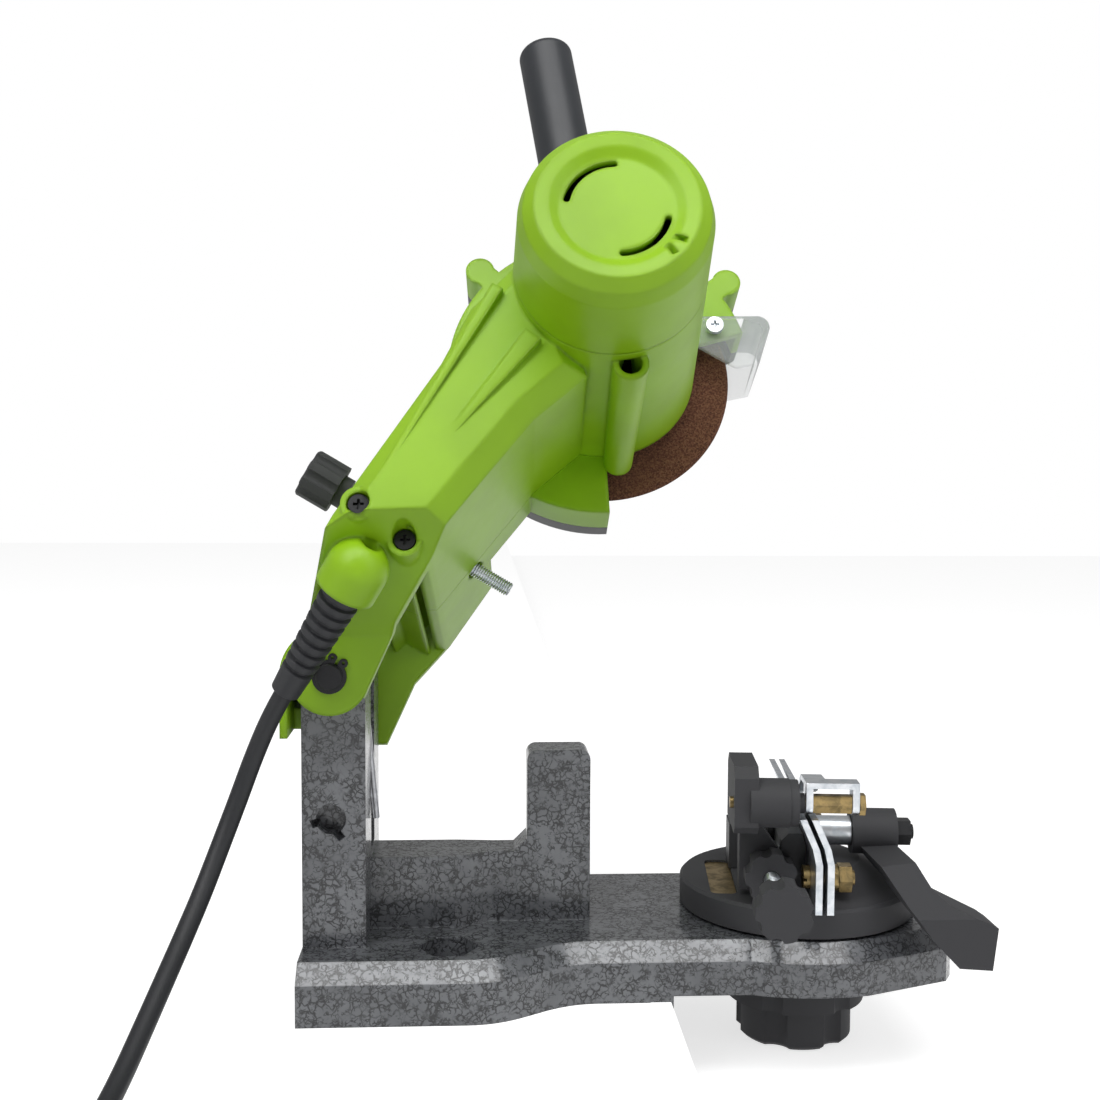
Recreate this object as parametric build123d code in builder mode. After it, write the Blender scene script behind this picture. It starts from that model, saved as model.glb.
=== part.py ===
"""Electric chainsaw sharpener: a bench casting, a swivelling chain vise and a sprung grinding head.

Millimetres, +Z up.  The bench top is the plane z = 0 and the vise turns about the Z axis.
The operator stands on the +X side, the head is hinged on a post at the -X end, and the
motor's ventilated cap looks along -Y and upwards.
"""

import math
import os

from build123d import *

os.makedirs("parts", exist_ok=True)

# ----------------------------------------------------------------- driving dimensions
# clearances
RUN_GAP = 0.05  # radial running clearance of a shaft or pin
FIT_GAP = 0.25  # gap between neighbouring loose pieces
SEAT_GAP = 0.3  # gap of pieces that slide or turn past each other

# base casting
BASE_THICK = 22.0
BASE_LEFT = -198.0
BASE_RIGHT = 55.0
BASE_HALF = 49.0  # half width of the vise arm of the casting
BASE_FOOT_NEAR = -67.0  # near edge of the wider bench foot
FOOT_END = -136.0
WAIST_START = -86.0
BULGE_RADIUS = 53.5
BASE_CHAMFER = 6.5
UNDERCUT = 2.4  # relief of the underside beyond the bench edge
LIP_LEFT = -66.5
LIP_WIDTH = 9.0
LIP_DROP = 2.6
BASE_FLOOR = 8.0
BASE_RIM = 7.0
BOLT_X = -143.0
BOLT_NEAR_Y = -46.0
BOLT_FAR_Y = 28.0
BOLT_HEX = 20.0
BOLT_HEX_DEEP = 9.0
BOLT_BORE = 6.5

# hinge post, low wall and depth-stop post
HINGE_X = -186.3
HINGE_Z = 126.2
POST_LEFT = -197.8
POST_RIGHT = -174.0
POST_NEAR = -46.0
POST_FAR = 20.0
SLOT_NEAR = -20.0
SLOT_FAR = -4.0
SLOT_FLOOR = 52.0
EAR_RADIUS = 11.5
WALL_TOP = 50.3
WALL_NEAR = -25.0
WALL_FAR = -0.5
STOP_NEAR = -18.0
STOP_FAR = -2.0
STOP_LEFT = -112.5
STOP_RIGHT = -87.3
STOP_TOP = 90.8
STOP_CORNER = 4.0
CORE_HOLE_Z = 71.0
CORE_HOLE_RADIUS = 5.6
CORE_HOLE_DEEP = 9.0

# hinge pin and return spring
PIN_RADIUS = 5.0
CLIP_THICK = 1.2
CLIP_RADIUS = 6.3
CLIP_EARS = (44.0, 36.0)
SPRING_WIRE = 2.6
SPRING_RADIUS = 9.0
SPRING_TURNS = 4

# head frame: motor axis and wheel
WHEEL_CENTRE = (-81.8, 18.5, 239.0)
MOTOR_TILT = 23.3
MOTOR_LEAN = 4.9
WHEEL_RADIUS = 54.0
WHEEL_THICK = 3.2
WHEEL_BORE = 11.5

# head shells
SHELL_WALL = 2.8
ARM_FACE = 85.0
ARM_CHAMFER = 7.0
TUBE_TOP = 89.0
TUBE_TOP_RADIUS = 34.8
TUBE_FOOT_RADIUS = 38.6
LUG_NEAR = -54.0
LUG_THICK = 7.7
LUG_FAR = 28.0
LUG_TOP_Z = 141.0
BEND_Y = -93.5
BEND_Z = 190.0
LUG_RADIUS = 14.6
SCREW_HEAD = 3.6
SCREW_RECESS = 4.2

# motor cap
CAP_TOP = 128.4
CAP_RIDGE_RADIUS = 27.7
CAP_DISH_RADIUS = 19.5
CAP_DISH = 2.4
CAP_WALL = 2.6
VENT_RADIUS = 17.2
VENT_WIDTH = 2.4

# wheel guard
GUARD_RADIUS = 62.5
GUARD_WALL = 2.6
GUARD_SPLIT = -8.0
GUARD_BACK = -18.0
GUARD_PLATE = 3.0
GUARD_FROM = 16.0
GUARD_TO = 272.0
EAR_OFFSET = 68.5
EAR_BOSS = 6.0
EAR_ANGLES = (37.0, 136.0)
HUB_HOLE = 23.0

# clear visor
VISOR_THICK = 2.0
VISOR_PIVOT = (48.0, 18.5)
VISOR_SIDE_GAP = 0.6

# handle and switch
HANDLE_RADIUS = 11.0
HANDLE_LEVEL = 45.0
HANDLE_FOOT = (-7.5, 33.0)
HANDLE_LEAN = 8.0
HANDLE_LENGTH = 98.0
SWITCH_WIDE = 13.0
SWITCH_HIGH = 19.0

# motor insides
SHAFT_RADIUS = 4.0
BEARING_RADIUS = 11.0
BEARING_WIDE = 7.0
FRONT_BEARING = 16.0
REAR_BEARING = 112.0
STATOR_FROM = 46.0
STATOR_TO = 82.0
STATOR_RADIUS = 28.5
STATOR_BORE = 16.5
ROTOR_RADIUS = 15.6
FAN_RADIUS = 27.0
FAN_LEVEL = 27.0
COMM_LEVEL = 94.0
COMM_LENGTH = 12.0
COMM_RADIUS = 9.5
FLANGE_RADIUS = 20.0

# depth stop
ROD_RADIUS = 3.0
ROD_Y = -14.0
ROD_TIP = (-119.4, 154.2)
ROD_TILT = -30.4
ROD_LENGTH = 88.0
ROD_KNOB = 10.0
ROD_KNOB_LONG = 14.0

# cord
CORD_RADIUS = 3.5
BOOT_TOP_RADIUS = 7.6
BOOT_END_RADIUS = 5.4
BOOT_LENGTH = 46.0
BOOT_RIBS = 8
COIL_TURN_RADIUS = 38.5
COIL_PITCH = 7.6
PLUG_THICK = 13.7
PLUG_LEVEL = 22.2
PLUG_BEND = 36.0
PIN_SPACING = 18.6

# vise turntable
TABLE_RADIUS = 47.8
TABLE_THICK = 10.9
TABLE_CHAMFER = 1.2
SEAT_HEIGHT = 1.2
SEAT_RADIUS = 50.0
VISE_YAW = -5.9
PIVOT_RADIUS = 5.0
PIVOT_HEAD = 16.0
PIVOT_HEAD_DEEP = 5.9
APRON_FOOT = 46.0
APRON_CREST = 26.0
APRON_TOP = 42.4
APRON_FROM = 8.8
PLATE_PLACE = (-31.5, -5.0)
PLATE_DEEP = 2.5
LOCK_RADIUS = 28.5
LOCK_GRIP = 23.5
LOCK_HUB = 15.0
LOCK_BOTTOM = -31.5
LOCK_LOBES = 6

# vise rails
RAIL_NEAR = -55.0
RAIL_FAR = 52.0
RAIL_THICK = 2.6
RAIL_FOOT = 35.0
RAIL_BEND_Z = 57.0
RAIL_TOP = 71.2
RAIL_LEAN = 6.2
RAIL_LEFT = 0.5
RAIL_PITCH = 4.4
GUIDE_RADIUS = 2.9
GUIDE_Y = 38.0
GUIDE_Z = 44.6
CLAMP_Y = -2.0
CLAMP_Z = 53.5
CLAMP_RADIUS = 3.0
CLAMP_TRAVEL = 0.6

# chain stop
STOP_AXIS_Y = -48.0
STOP_AXIS_Z = 76.0
STOP_BOLT = 2.2
STOP_SHEET = 2.6
LEG_LEFT = -3.1
LEG_RIGHT = 14.3
STRIP_TOP = 84.6
CARRIER_TRAVEL = 4.0
ADJUST_X = -14.5
ADJUST_Z = 44.6
ADJUST_RADIUS = 3.25
ADJUST_NEAR = -83.0
STAR_LOBES = 7


def polar(radius, angle):
    """Point at a radius and an angle in degrees."""
    return (radius * math.cos(math.radians(angle)), radius * math.sin(math.radians(angle)))


def keep(builder, label):
    """Write a finished piece's STEP file, counted from the point midway between the bench bolts."""
    with BuildPart() as placed:
        with Locations((-BOLT_X, -(BOLT_NEAR_Y + BOLT_FAR_Y) / 2, 0)):
            add(builder.part)
    placed.part.label = label
    export_step(placed.part, f"parts/{label}.step")


# ----------------------------------------------------------------- frames
BASE_TOP = BASE_THICK
TABLE_FOOT = BASE_TOP + SEAT_HEIGHT
TABLE_TOP = TABLE_FOOT + TABLE_THICK

tilt = math.radians(MOTOR_TILT)
lean = math.radians(MOTOR_LEAN)
MOTOR_DIR = Vector(-math.sin(tilt) * math.sin(lean), -math.cos(tilt), math.sin(tilt) * math.cos(lean))
ACROSS = (Vector(1, 0, 0) - MOTOR_DIR * MOTOR_DIR.X).normalized()
HEAD = Plane(origin=WHEEL_CENTRE, x_dir=ACROSS, z_dir=MOTOR_DIR)
HEAD_SECTION = Plane(origin=WHEEL_CENTRE, x_dir=ACROSS, z_dir=ACROSS.cross(MOTOR_DIR))
SPIN = Axis(WHEEL_CENTRE, MOTOR_DIR)

yaw = math.radians(VISE_YAW)
VISE = Plane(origin=(0, 0, 0), x_dir=(math.cos(yaw), math.sin(yaw), 0), z_dir=(0, 0, 1))
VISE_RIGHT = VISE.x_dir
VISE_FAR = VISE.y_dir
VISE_TOP = Plane(origin=(0, 0, TABLE_TOP), x_dir=VISE_RIGHT, z_dir=(0, 0, 1))


def side_plane(y):
    """Plane facing the viewer at a depth y: sketch x is +X and sketch y is +Z."""
    return Plane(origin=(0, y, 0), x_dir=(1, 0, 0), z_dir=(0, -1, 0))


def across_plane(x):
    """Plane facing +X at a place x: sketch x is +Y and sketch y is +Z."""
    return Plane(origin=(x, 0, 0), x_dir=(0, 1, 0), z_dir=(1, 0, 0))


def vise_side(y):
    """Plane facing the near end of the vise at a depth y along its rails."""
    return Plane(origin=VISE_FAR * y, x_dir=VISE_RIGHT, z_dir=VISE_FAR * -1)


def vise_across(x):
    """Plane facing the lever side of the vise at a place x across its rails."""
    return Plane(origin=VISE_RIGHT * x, x_dir=VISE_FAR, z_dir=VISE_RIGHT)


def head_ring(name, points):
    """Solid of revolution about the motor axis from (radius, level) points."""
    with BuildPart() as ring:
        with BuildSketch(HEAD_SECTION):
            with BuildLine():
                Polyline(*points, close=True)
            make_face()
        revolve(axis=SPIN)
    keep(ring, name)
    return ring


# ----------------------------------------------------------------- base casting
with BuildPart() as base_casting:
    with BuildSketch():
        with BuildLine():
            foot = Line((BASE_LEFT, BASE_FOOT_NEAR), (FOOT_END, BASE_FOOT_NEAR))
            waist = Spline(
                foot @ 1,
                (WAIST_START, -BASE_HALF),
                tangents=((1, 0), (1, 0)),
            )
            arm = Line(waist @ 1, (-28, -BASE_HALF))
            near_bulge = ThreePointArc(arm @ 1, (-5, -BULGE_RADIUS), (17, -51.6))
            near_cut = Line(near_bulge @ 1, (51.4, -38.1))
            near_nose = Line(near_cut @ 1, (BASE_RIGHT, -32))
            nose = Line(near_nose @ 1, (BASE_RIGHT, 32))
            far_nose = Line(nose @ 1, (51.4, 38.1))
            far_cut = Line(far_nose @ 1, (17, 51.6))
            far_bulge = ThreePointArc(far_cut @ 1, (-5, BULGE_RADIUS), (-28, BASE_HALF))
            far_side = Line(far_bulge @ 1, (BASE_LEFT, BASE_HALF))
            Line(far_side @ 1, foot @ 0)
        make_face()
    extrude(amount=BASE_THICK)
    rim_edges = base_casting.edges().filter_by_position(Axis.Z, BASE_THICK - 0.1, BASE_THICK + 0.1)
    rim_edges = rim_edges.filter_by(lambda edge: edge.center().X > BASE_LEFT + 1)
    chamfer(rim_edges, length=BASE_CHAMFER)
    # seat of the turntable
    with BuildSketch(Plane.XY.offset(BASE_TOP)):
        Circle(SEAT_RADIUS - BASE_CHAMFER)
    extrude(amount=SEAT_HEIGHT - 0.2)
    # relief of the underside beyond the bench edge, and the lip that butts against the bench
    with BuildSketch():
        with Locations(((BASE_RIGHT + LIP_LEFT) / 2 + 5, 0)):
            Rectangle(BASE_RIGHT - LIP_LEFT + 10, 140)
    extrude(amount=UNDERCUT, mode=Mode.SUBTRACT)
    with BuildSketch(Plane.XY.offset(-LIP_DROP)):
        with Locations((LIP_LEFT + LIP_WIDTH / 2, 0)):
            Rectangle(LIP_WIDTH, 2 * BASE_HALF - 1)
    extrude(amount=LIP_DROP + UNDERCUT + 1)
    # hollows under the casting
    with BuildSketch(Plane.XY.offset(UNDERCUT)):
        with Locations((-34, 0)):
            Rectangle(30, 2 * (BASE_HALF - BASE_RIM))
    extrude(amount=BASE_TOP - UNDERCUT - BASE_FLOOR, mode=Mode.SUBTRACT)
    with BuildSketch():
        with Locations((-106, -8), (-178, -8)):
            Rectangle(26, 2 * (BASE_HALF - BASE_RIM) - 8)
    extrude(amount=BASE_TOP - BASE_FLOOR, mode=Mode.SUBTRACT)
    # hinge post with its two ears
    with BuildSketch(side_plane(POST_NEAR)):
        with Locations(((POST_LEFT + POST_RIGHT) / 2, (HINGE_Z + BASE_TOP) / 2 - 1)):
            Rectangle(POST_RIGHT - POST_LEFT, HINGE_Z - BASE_TOP + 2)
        with Locations((HINGE_X, HINGE_Z)):
            Circle(EAR_RADIUS)
    extrude(amount=-(POST_FAR - POST_NEAR))
    with BuildSketch(side_plane(SLOT_NEAR)):
        with Locations(((POST_LEFT + POST_RIGHT) / 2, (SLOT_FLOOR + HINGE_Z + EAR_RADIUS + 2) / 2)):
            Rectangle(POST_RIGHT - POST_LEFT + 2, HINGE_Z + EAR_RADIUS + 2 - SLOT_FLOOR)
    extrude(amount=-(SLOT_FAR - SLOT_NEAR), mode=Mode.SUBTRACT)
    with BuildSketch(side_plane(POST_NEAR)):
        with Locations((HINGE_X, HINGE_Z)):
            Circle(PIN_RADIUS)
    extrude(amount=-(POST_FAR - POST_NEAR), mode=Mode.SUBTRACT)
    # cored hole in the post
    with BuildSketch(side_plane(POST_NEAR)):
        with Locations((HINGE_X - 0.6, CORE_HOLE_Z)):
            Circle(CORE_HOLE_RADIUS)
        with Locations(Location((HINGE_X - 5.6, CORE_HOLE_Z - 1), 20)):
            Rectangle(5, 3)
        with Locations(Location((HINGE_X + 2, CORE_HOLE_Z - 5.5), -50)):
            Rectangle(5, 3)
    extrude(amount=-CORE_HOLE_DEEP, mode=Mode.SUBTRACT)
    # low wall and depth-stop post
    with BuildSketch(Plane.XY.offset(BASE_TOP - 1)):
        with BuildLine():
            Polyline(
                (POST_RIGHT - 3, WALL_NEAR),
                (-141, WALL_NEAR),
                (-126, STOP_NEAR),
                (STOP_RIGHT, STOP_NEAR),
                (STOP_RIGHT, STOP_FAR),
                (-126, STOP_FAR),
                (-141, WALL_FAR),
                (POST_RIGHT - 3, WALL_FAR),
                close=True,
            )
        make_face()
    extrude(amount=WALL_TOP - BASE_TOP + 1)
    with BuildSketch(side_plane(STOP_NEAR)):
        with BuildLine():
            Polyline(
                (STOP_LEFT - 5, WALL_TOP - 1),
                (STOP_LEFT - 5, WALL_TOP),
                (STOP_LEFT, WALL_TOP + 5),
                (STOP_LEFT, STOP_TOP),
                (STOP_RIGHT, STOP_TOP),
                (STOP_RIGHT, WALL_TOP - 1),
                close=True,
            )
        make_face()
    extrude(amount=-(STOP_FAR - STOP_NEAR))
    crown = base_casting.edges().filter_by(Axis.Y).filter_by_position(Axis.Z, STOP_TOP - 0.1, STOP_TOP + 0.1)
    fillet(crown, radius=STOP_CORNER)
    # bench bolt holes with hexagonal pockets
    with Locations((BOLT_X, BOLT_NEAR_Y, 0), (BOLT_X, BOLT_FAR_Y, 0)):
        Cylinder(BOLT_BORE, 60, mode=Mode.SUBTRACT)
    with BuildSketch(Plane.XY.offset(BASE_TOP - BOLT_HEX_DEEP)):
        with Locations((BOLT_X, BOLT_NEAR_Y), (BOLT_X, BOLT_FAR_Y)):
            RegularPolygon(BOLT_HEX / 2, 6, major_radius=False)
    extrude(amount=BOLT_HEX_DEEP + 1, mode=Mode.SUBTRACT)
    # bore for the turntable's pivot bolt
    Cylinder(PIVOT_RADIUS + RUN_GAP, 60, mode=Mode.SUBTRACT)
keep(base_casting, "base_casting")

# ----------------------------------------------------------------- hinge pin, circlips, spring
PIN_NEAR = LUG_NEAR - 2.4
PIN_FAR = LUG_FAR + 2.4
CLIP_GROOVE = 0.4
with BuildPart() as hinge_pin:
    with BuildSketch(side_plane(PIN_NEAR)):
        with Locations((HINGE_X, HINGE_Z)):
            Circle(PIN_RADIUS)
    extrude(amount=-(PIN_FAR - PIN_NEAR))
    for groove in (LUG_NEAR - 0.1 - CLIP_THICK, LUG_FAR + 0.1):
        with BuildSketch(side_plane(groove)):
            with Locations((HINGE_X, HINGE_Z)):
                Circle(PIN_RADIUS)
                Circle(PIN_RADIUS - CLIP_GROOVE, mode=Mode.SUBTRACT)
        extrude(amount=-CLIP_THICK, mode=Mode.SUBTRACT)
    chamfer(hinge_pin.edges().filter_by(GeomType.CIRCLE).sort_by(Axis.Y)[0], length=0.6)
    chamfer(hinge_pin.edges().filter_by(GeomType.CIRCLE).sort_by(Axis.Y)[-1], length=0.6)
keep(hinge_pin, "hinge_pin")

with BuildPart() as hinge_circlips:
    for groove in (LUG_NEAR - 0.1 - CLIP_THICK, LUG_FAR + 0.1):
        with BuildSketch(side_plane(groove)):
            with Locations((HINGE_X, HINGE_Z)):
                Circle(CLIP_RADIUS)
                with PolarLocations(CLIP_RADIUS + 0.8, 2, *CLIP_EARS, endpoint=True):
                    Circle(1.7)
                with PolarLocations(CLIP_RADIUS + 1.0, 2, *CLIP_EARS, endpoint=True):
                    Circle(0.6, mode=Mode.SUBTRACT)
                Circle(PIN_RADIUS - CLIP_GROOVE, mode=Mode.SUBTRACT)
                with PolarLocations(CLIP_RADIUS, 1, CLIP_EARS[0] + CLIP_EARS[1] / 2):
                    Rectangle(5, 1.2, mode=Mode.SUBTRACT)
        extrude(amount=-CLIP_THICK)
keep(hinge_circlips, "hinge_circlips")


# ----------------------------------------------------------------- wound pieces
def biarc(start, start_dir, end, end_dir):
    """Two arcs from one place and direction to another, added to the current line."""
    chord = end - start
    both = start_dir + end_dir
    bend = 2 * (1 - start_dir.dot(end_dir))
    if bend < 1e-6:
        reach = chord.dot(chord) / (4 * chord.dot(end_dir))
    else:
        along = chord.dot(both)
        reach = (math.sqrt(along * along + bend * chord.dot(chord)) - along) / bend
    first = start + start_dir * reach
    last = end - end_dir * reach
    joint = (first + last) * 0.5
    TangentArc(start, joint, tangent=start_dir)
    TangentArc(joint, end, tangent=(last - first).normalized())


def least_gap(line, diameter):
    """Least gap of a wound tube to itself, measured on points one millimetre apart."""
    length = line.length
    count = int(length / 1.5)
    points = [line @ (number / count) for number in range(count + 1)]
    skip = int(2.2 * diameter / 1.5) + 2
    gap = length
    for number, point in enumerate(points):
        for other in points[number + skip :]:
            gap = min(gap, (other - point).length)
    return gap - diameter


# ----------------------------------------------------------------- torsion spring on the hinge pin
SPRING_PITCH = 3.25
SPRING_START = (SLOT_NEAR + SLOT_FAR) / 2 - SPRING_TURNS * SPRING_PITCH / 2 + 0.15
SPRING_LEG = 62.0
SPRING_ARM = 10.5
SPRING_ARM_ANGLE = 145.0


def spring_point(angle):
    """Place on the spring's coil, by its angle from +X in degrees."""
    across, up = polar(SPRING_RADIUS, angle)
    return Vector(HINGE_X + across, SPRING_START + SPRING_PITCH * angle / 360, HINGE_Z + up)


def spring_dir(angle):
    """Direction of the spring's wire at an angle on its coil."""
    across, up = polar(SPRING_RADIUS, angle + 90)
    rise = SPRING_PITCH / (2 * math.pi)
    return Vector(across, rise, up).normalized()


spring_last = 360 * (SPRING_TURNS - 1) + SPRING_ARM_ANGLE
with BuildPart() as return_spring:
    with BuildLine() as spring_path:
        foot_dir = Vector(0.085, 0, -1).normalized()
        leg_top = spring_point(0)
        leg_foot = leg_top + foot_dir * SPRING_LEG
        Line(leg_foot, leg_top - spring_dir(0) * 4)
        bend_in = (leg_top - spring_dir(0) * 4 - leg_foot).normalized()
        biarc(leg_top - spring_dir(0) * 4, bend_in, spring_point(45), spring_dir(45))
        angle = 45
        while angle + 90 < spring_last:
            biarc(spring_point(angle), spring_dir(angle), spring_point(angle + 90), spring_dir(angle + 90))
            angle += 90
        biarc(spring_point(angle), spring_dir(angle), spring_point(spring_last), spring_dir(spring_last))
        Line(spring_point(spring_last), spring_point(spring_last) + spring_dir(spring_last) * SPRING_ARM)
    with BuildSketch(Plane(origin=leg_foot, z_dir=bend_in)):
        Circle(SPRING_WIRE / 2)
    sweep()
keep(return_spring, "return_spring")
print("return spring: least gap to itself", round(least_gap(spring_path.wire(), SPRING_WIRE), 2), "mm")

# ----------------------------------------------------------------- arm of the head
ARM_BACK = -84.0
RIM_LEVEL = 9.0
ARM_LEFT = (
    (-30.0, 12.0),
    (-50.3, -10.5),
    (-60.8, -32.3),
    (-74.3, -53.4),
    (-97.0, -89.0),
    (-113.4, -121.0),
    (-117.0, -139.0),
)
ARM_RIGHT = (
    (-91.3, -139.0),
    (-79.0, -115.0),
    (-64.0, -100.0),
    (-47.0, -78.0),
    (-28.0, -54.0),
    (-9.0, -37.5),
)
ARM_RIDGES = (((-42.0, -9.0), (-80.0, -76.0), 2.2), ((-30.0, -28.0), (-60.0, -66.0), 3.4))
RIDGE_HIGH = 3.0
BARREL_RADIUS = 18.5
BARREL_TAIL = 103.0
ROOF_LOCAL = -76.0
ARM_END_Z = 84.0
CAVITY_NEAR = -51.0
CAVITY_FAR = 25.0


def arm_side(inset, foot_z):
    """Outline of the arm seen from the operator's side, or of its hollow where an inset is given."""
    slant = Vector(BEND_Y - LUG_NEAR, BEND_Z - LUG_TOP_Z).normalized()
    near_face = CAVITY_NEAR if inset else LUG_NEAR
    far_face = CAVITY_FAR if inset else LUG_FAR
    slant_in = Vector(slant.Y, -slant.X) * inset
    knee = Vector(LUG_NEAR, LUG_TOP_Z) + slant_in
    knee = knee + slant * ((near_face - knee.X) / slant.X)
    shoulder = Vector(BEND_Y, BEND_Z) + slant_in + slant * 60
    with BuildSketch(across_plane(-260)) as side:
        with BuildLine():
            Polyline(
                (near_face, foot_z),
                (knee.X, knee.Y),
                (shoulder.X, shoulder.Y),
                (shoulder.X, 340),
                (60, 340),
                (60, 230),
                (far_face, 165),
                (far_face, foot_z),
                close=True,
            )
        make_face()
    return side.sketch


def arm_form(inset):
    """Outer form of the arm, or its hollow where an inset is given."""
    with BuildPart() as form:
        with BuildSketch(HEAD.offset(ARM_BACK)):
            with BuildLine():
                Polyline(*ARM_LEFT, *ARM_RIGHT, close=True)
            make_face()
            if inset:
                offset(amount=-inset, kind=Kind.INTERSECTION)
        extrude(amount=ARM_FACE - inset - ARM_BACK)
        chamfer(form.faces().sort_by(Axis(WHEEL_CENTRE, MOTOR_DIR))[-1].edges(), length=ARM_CHAMFER)
        extrude(arm_side(inset, ARM_END_Z - 20), amount=300, mode=Mode.INTERSECT)
        # nothing lies behind the wheel's plane above the roof over the far ear
        with BuildSketch(HEAD.offset(GUARD_SPLIT + inset)):
            with Locations((-60, ROOF_LOCAL - inset + 100)):
                Rectangle(200, 200)
        extrude(amount=-90, mode=Mode.SUBTRACT)
    return form


arm_outer = arm_form(0)
arm_inner = arm_form(SHELL_WALL)

# two ridges on the arm's near face, highest at the motor and running out towards the bend
with BuildPart() as arm_ridges:
    for root, tip, wide in ARM_RIDGES:
        run = Vector(*tip) - Vector(*root)
        along = HEAD.x_dir * run.X + HEAD.y_dir * run.Y
        start = HEAD.from_local_coords((*root, ARM_FACE + RIDGE_HIGH))
        slope = along - MOTOR_DIR * (RIDGE_HIGH + 0.4)
        upright = slope.cross(MOTOR_DIR).cross(slope).normalized()
        crest = Plane(origin=start, x_dir=slope.normalized(), z_dir=upright)
        with BuildSketch(crest):
            with BuildLine():
                Polyline((-3, wide), (slope.length, 0.8), (slope.length, -0.8), (-3, -wide), close=True)
            make_face()
        extrude(amount=-RIDGE_HIGH - 1)

# hinge lugs, barrel round the post's ears and the up-stop
with BuildPart() as hinge_form:
    for face, thick in ((LUG_NEAR, LUG_THICK), (POST_FAR + SEAT_GAP, LUG_FAR - POST_FAR - SEAT_GAP)):
        with BuildSketch(side_plane(face)):
            with Locations((HINGE_X, HINGE_Z)):
                Circle(LUG_RADIUS)
        extrude(amount=-thick)
    with BuildSketch(side_plane(CAVITY_NEAR - 1.5)):
        with Locations((HINGE_X, HINGE_Z)):
            Circle(BARREL_RADIUS)
            Circle(BARREL_RADIUS - SHELL_WALL, mode=Mode.SUBTRACT)
        with Locations((HINGE_X - BARREL_RADIUS + SHELL_WALL / 2, (HINGE_Z + BARREL_TAIL) / 2)):
            Rectangle(SHELL_WALL, HINGE_Z - BARREL_TAIL)
        # the barrel is open below and on the operator's side
        with Locations((HINGE_X + 30 - BARREL_RADIUS + SHELL_WALL, HINGE_Z - 30)):
            Rectangle(60, 60, mode=Mode.SUBTRACT)
        with Locations((HINGE_X + 30 + 2, HINGE_Z)):
            Rectangle(60, 60, mode=Mode.SUBTRACT)
    extrude(amount=-(CAVITY_FAR + 1.5 - CAVITY_NEAR + 1.5))
    # pad that meets the post when the head is up
    with BuildSketch(side_plane(-34)):
        with Locations(((POST_LEFT - SEAT_GAP + HINGE_X - BARREL_RADIUS + 1) / 2, BARREL_TAIL + 4)):
            Rectangle(POST_LEFT - SEAT_GAP - (HINGE_X - BARREL_RADIUS + 1), 8)
    extrude(amount=-42)

with BuildPart() as hinge_hollow:
    # room for the ears inside the barrel
    with BuildSketch(side_plane(CAVITY_NEAR)):
        with Locations((HINGE_X, HINGE_Z)):
            Circle(BARREL_RADIUS - SHELL_WALL)
        with Locations((HINGE_X, (HINGE_Z + ARM_END_Z) / 2 - 8)):
            Rectangle(2 * (BARREL_RADIUS - SHELL_WALL), HINGE_Z - ARM_END_Z + 16)
    extrude(amount=-(CAVITY_FAR - CAVITY_NEAR))

# underside mouth of the arm, between its near and far walls
MOUTH = ((-93.0, -102.0), (-100.0, -112.0), (-108.0, -128.0), (-112.0, -200.0), (-40.0, -200.0), (-40.0, -102.0))
with BuildPart() as arm_mouth:
    with BuildSketch(HEAD.offset(ARM_BACK - 20)):
        with BuildLine():
            Polyline(*MOUTH, close=True)
        make_face()
    extrude(amount=ARM_FACE - ARM_BACK + 20)
    extrude(arm_side(SHELL_WALL, 40), amount=300, mode=Mode.INTERSECT)

# stiffening ribs across the mouth
with BuildPart() as arm_ribs:
    with BuildSketch(HEAD.offset(ARM_BACK)):
        for place, turn in (((-74, -92), 38), ((-88, -96), -25), ((-66, -80), 52)):
            with Locations(Location(place, turn)):
                Rectangle(34, 1.8)
    extrude(amount=ARM_FACE - ARM_BACK - 4)
    add(arm_inner.part, mode=Mode.INTERSECT)

# motor barrel of the housing
with BuildPart() as body_form:
    with BuildSketch(HEAD_SECTION):
        with BuildLine():
            Polyline(
                (0, RIM_LEVEL - 0.5),
                (TUBE_FOOT_RADIUS, RIM_LEVEL - 0.5),
                (TUBE_TOP_RADIUS, TUBE_TOP),
                (0, TUBE_TOP),
                close=True,
            )
        make_face()
    revolve(axis=SPIN)
with BuildPart() as body_hollow:
    with BuildSketch(HEAD_SECTION):
        with BuildLine():
            Polyline(
                (0, RIM_LEVEL - 1),
                (TUBE_FOOT_RADIUS - SHELL_WALL, RIM_LEVEL - 1),
                (TUBE_TOP_RADIUS - SHELL_WALL, TUBE_TOP + 1),
                (0, TUBE_TOP + 1),
                close=True,
            )
        make_face()
    revolve(axis=SPIN)

# rod of the depth stop: clearance through the arm
rod_angle = math.radians(ROD_TILT)
ROD_DIR = Vector(math.cos(rod_angle), 0, math.sin(rod_angle))
ROD_FOOT = Vector(ROD_TIP[0], ROD_Y, ROD_TIP[1])
ROD = Plane(origin=ROD_FOOT, x_dir=(0, 1, 0), z_dir=ROD_DIR * -1)
ROD_SLOT_REACH = 32.0
NUT_LEVEL = 54.0
NUT_ACROSS = 10.0
NUT_THICK = 4.5
with BuildPart() as rod_way:
    with BuildSketch(ROD.offset(-20)):
        Circle(ROD_RADIUS + FIT_GAP)
    extrude(amount=ROD_LENGTH + 40)
    with BuildSketch(ROD.offset(-5)):
        SlotOverall(10, 2 * ROD_RADIUS + 2)
    extrude(amount=ROD_SLOT_REACH)

# guard: sector outlines shared by the green rim and the dark cover
SECTOR_SPAN = GUARD_TO - GUARD_FROM


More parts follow.
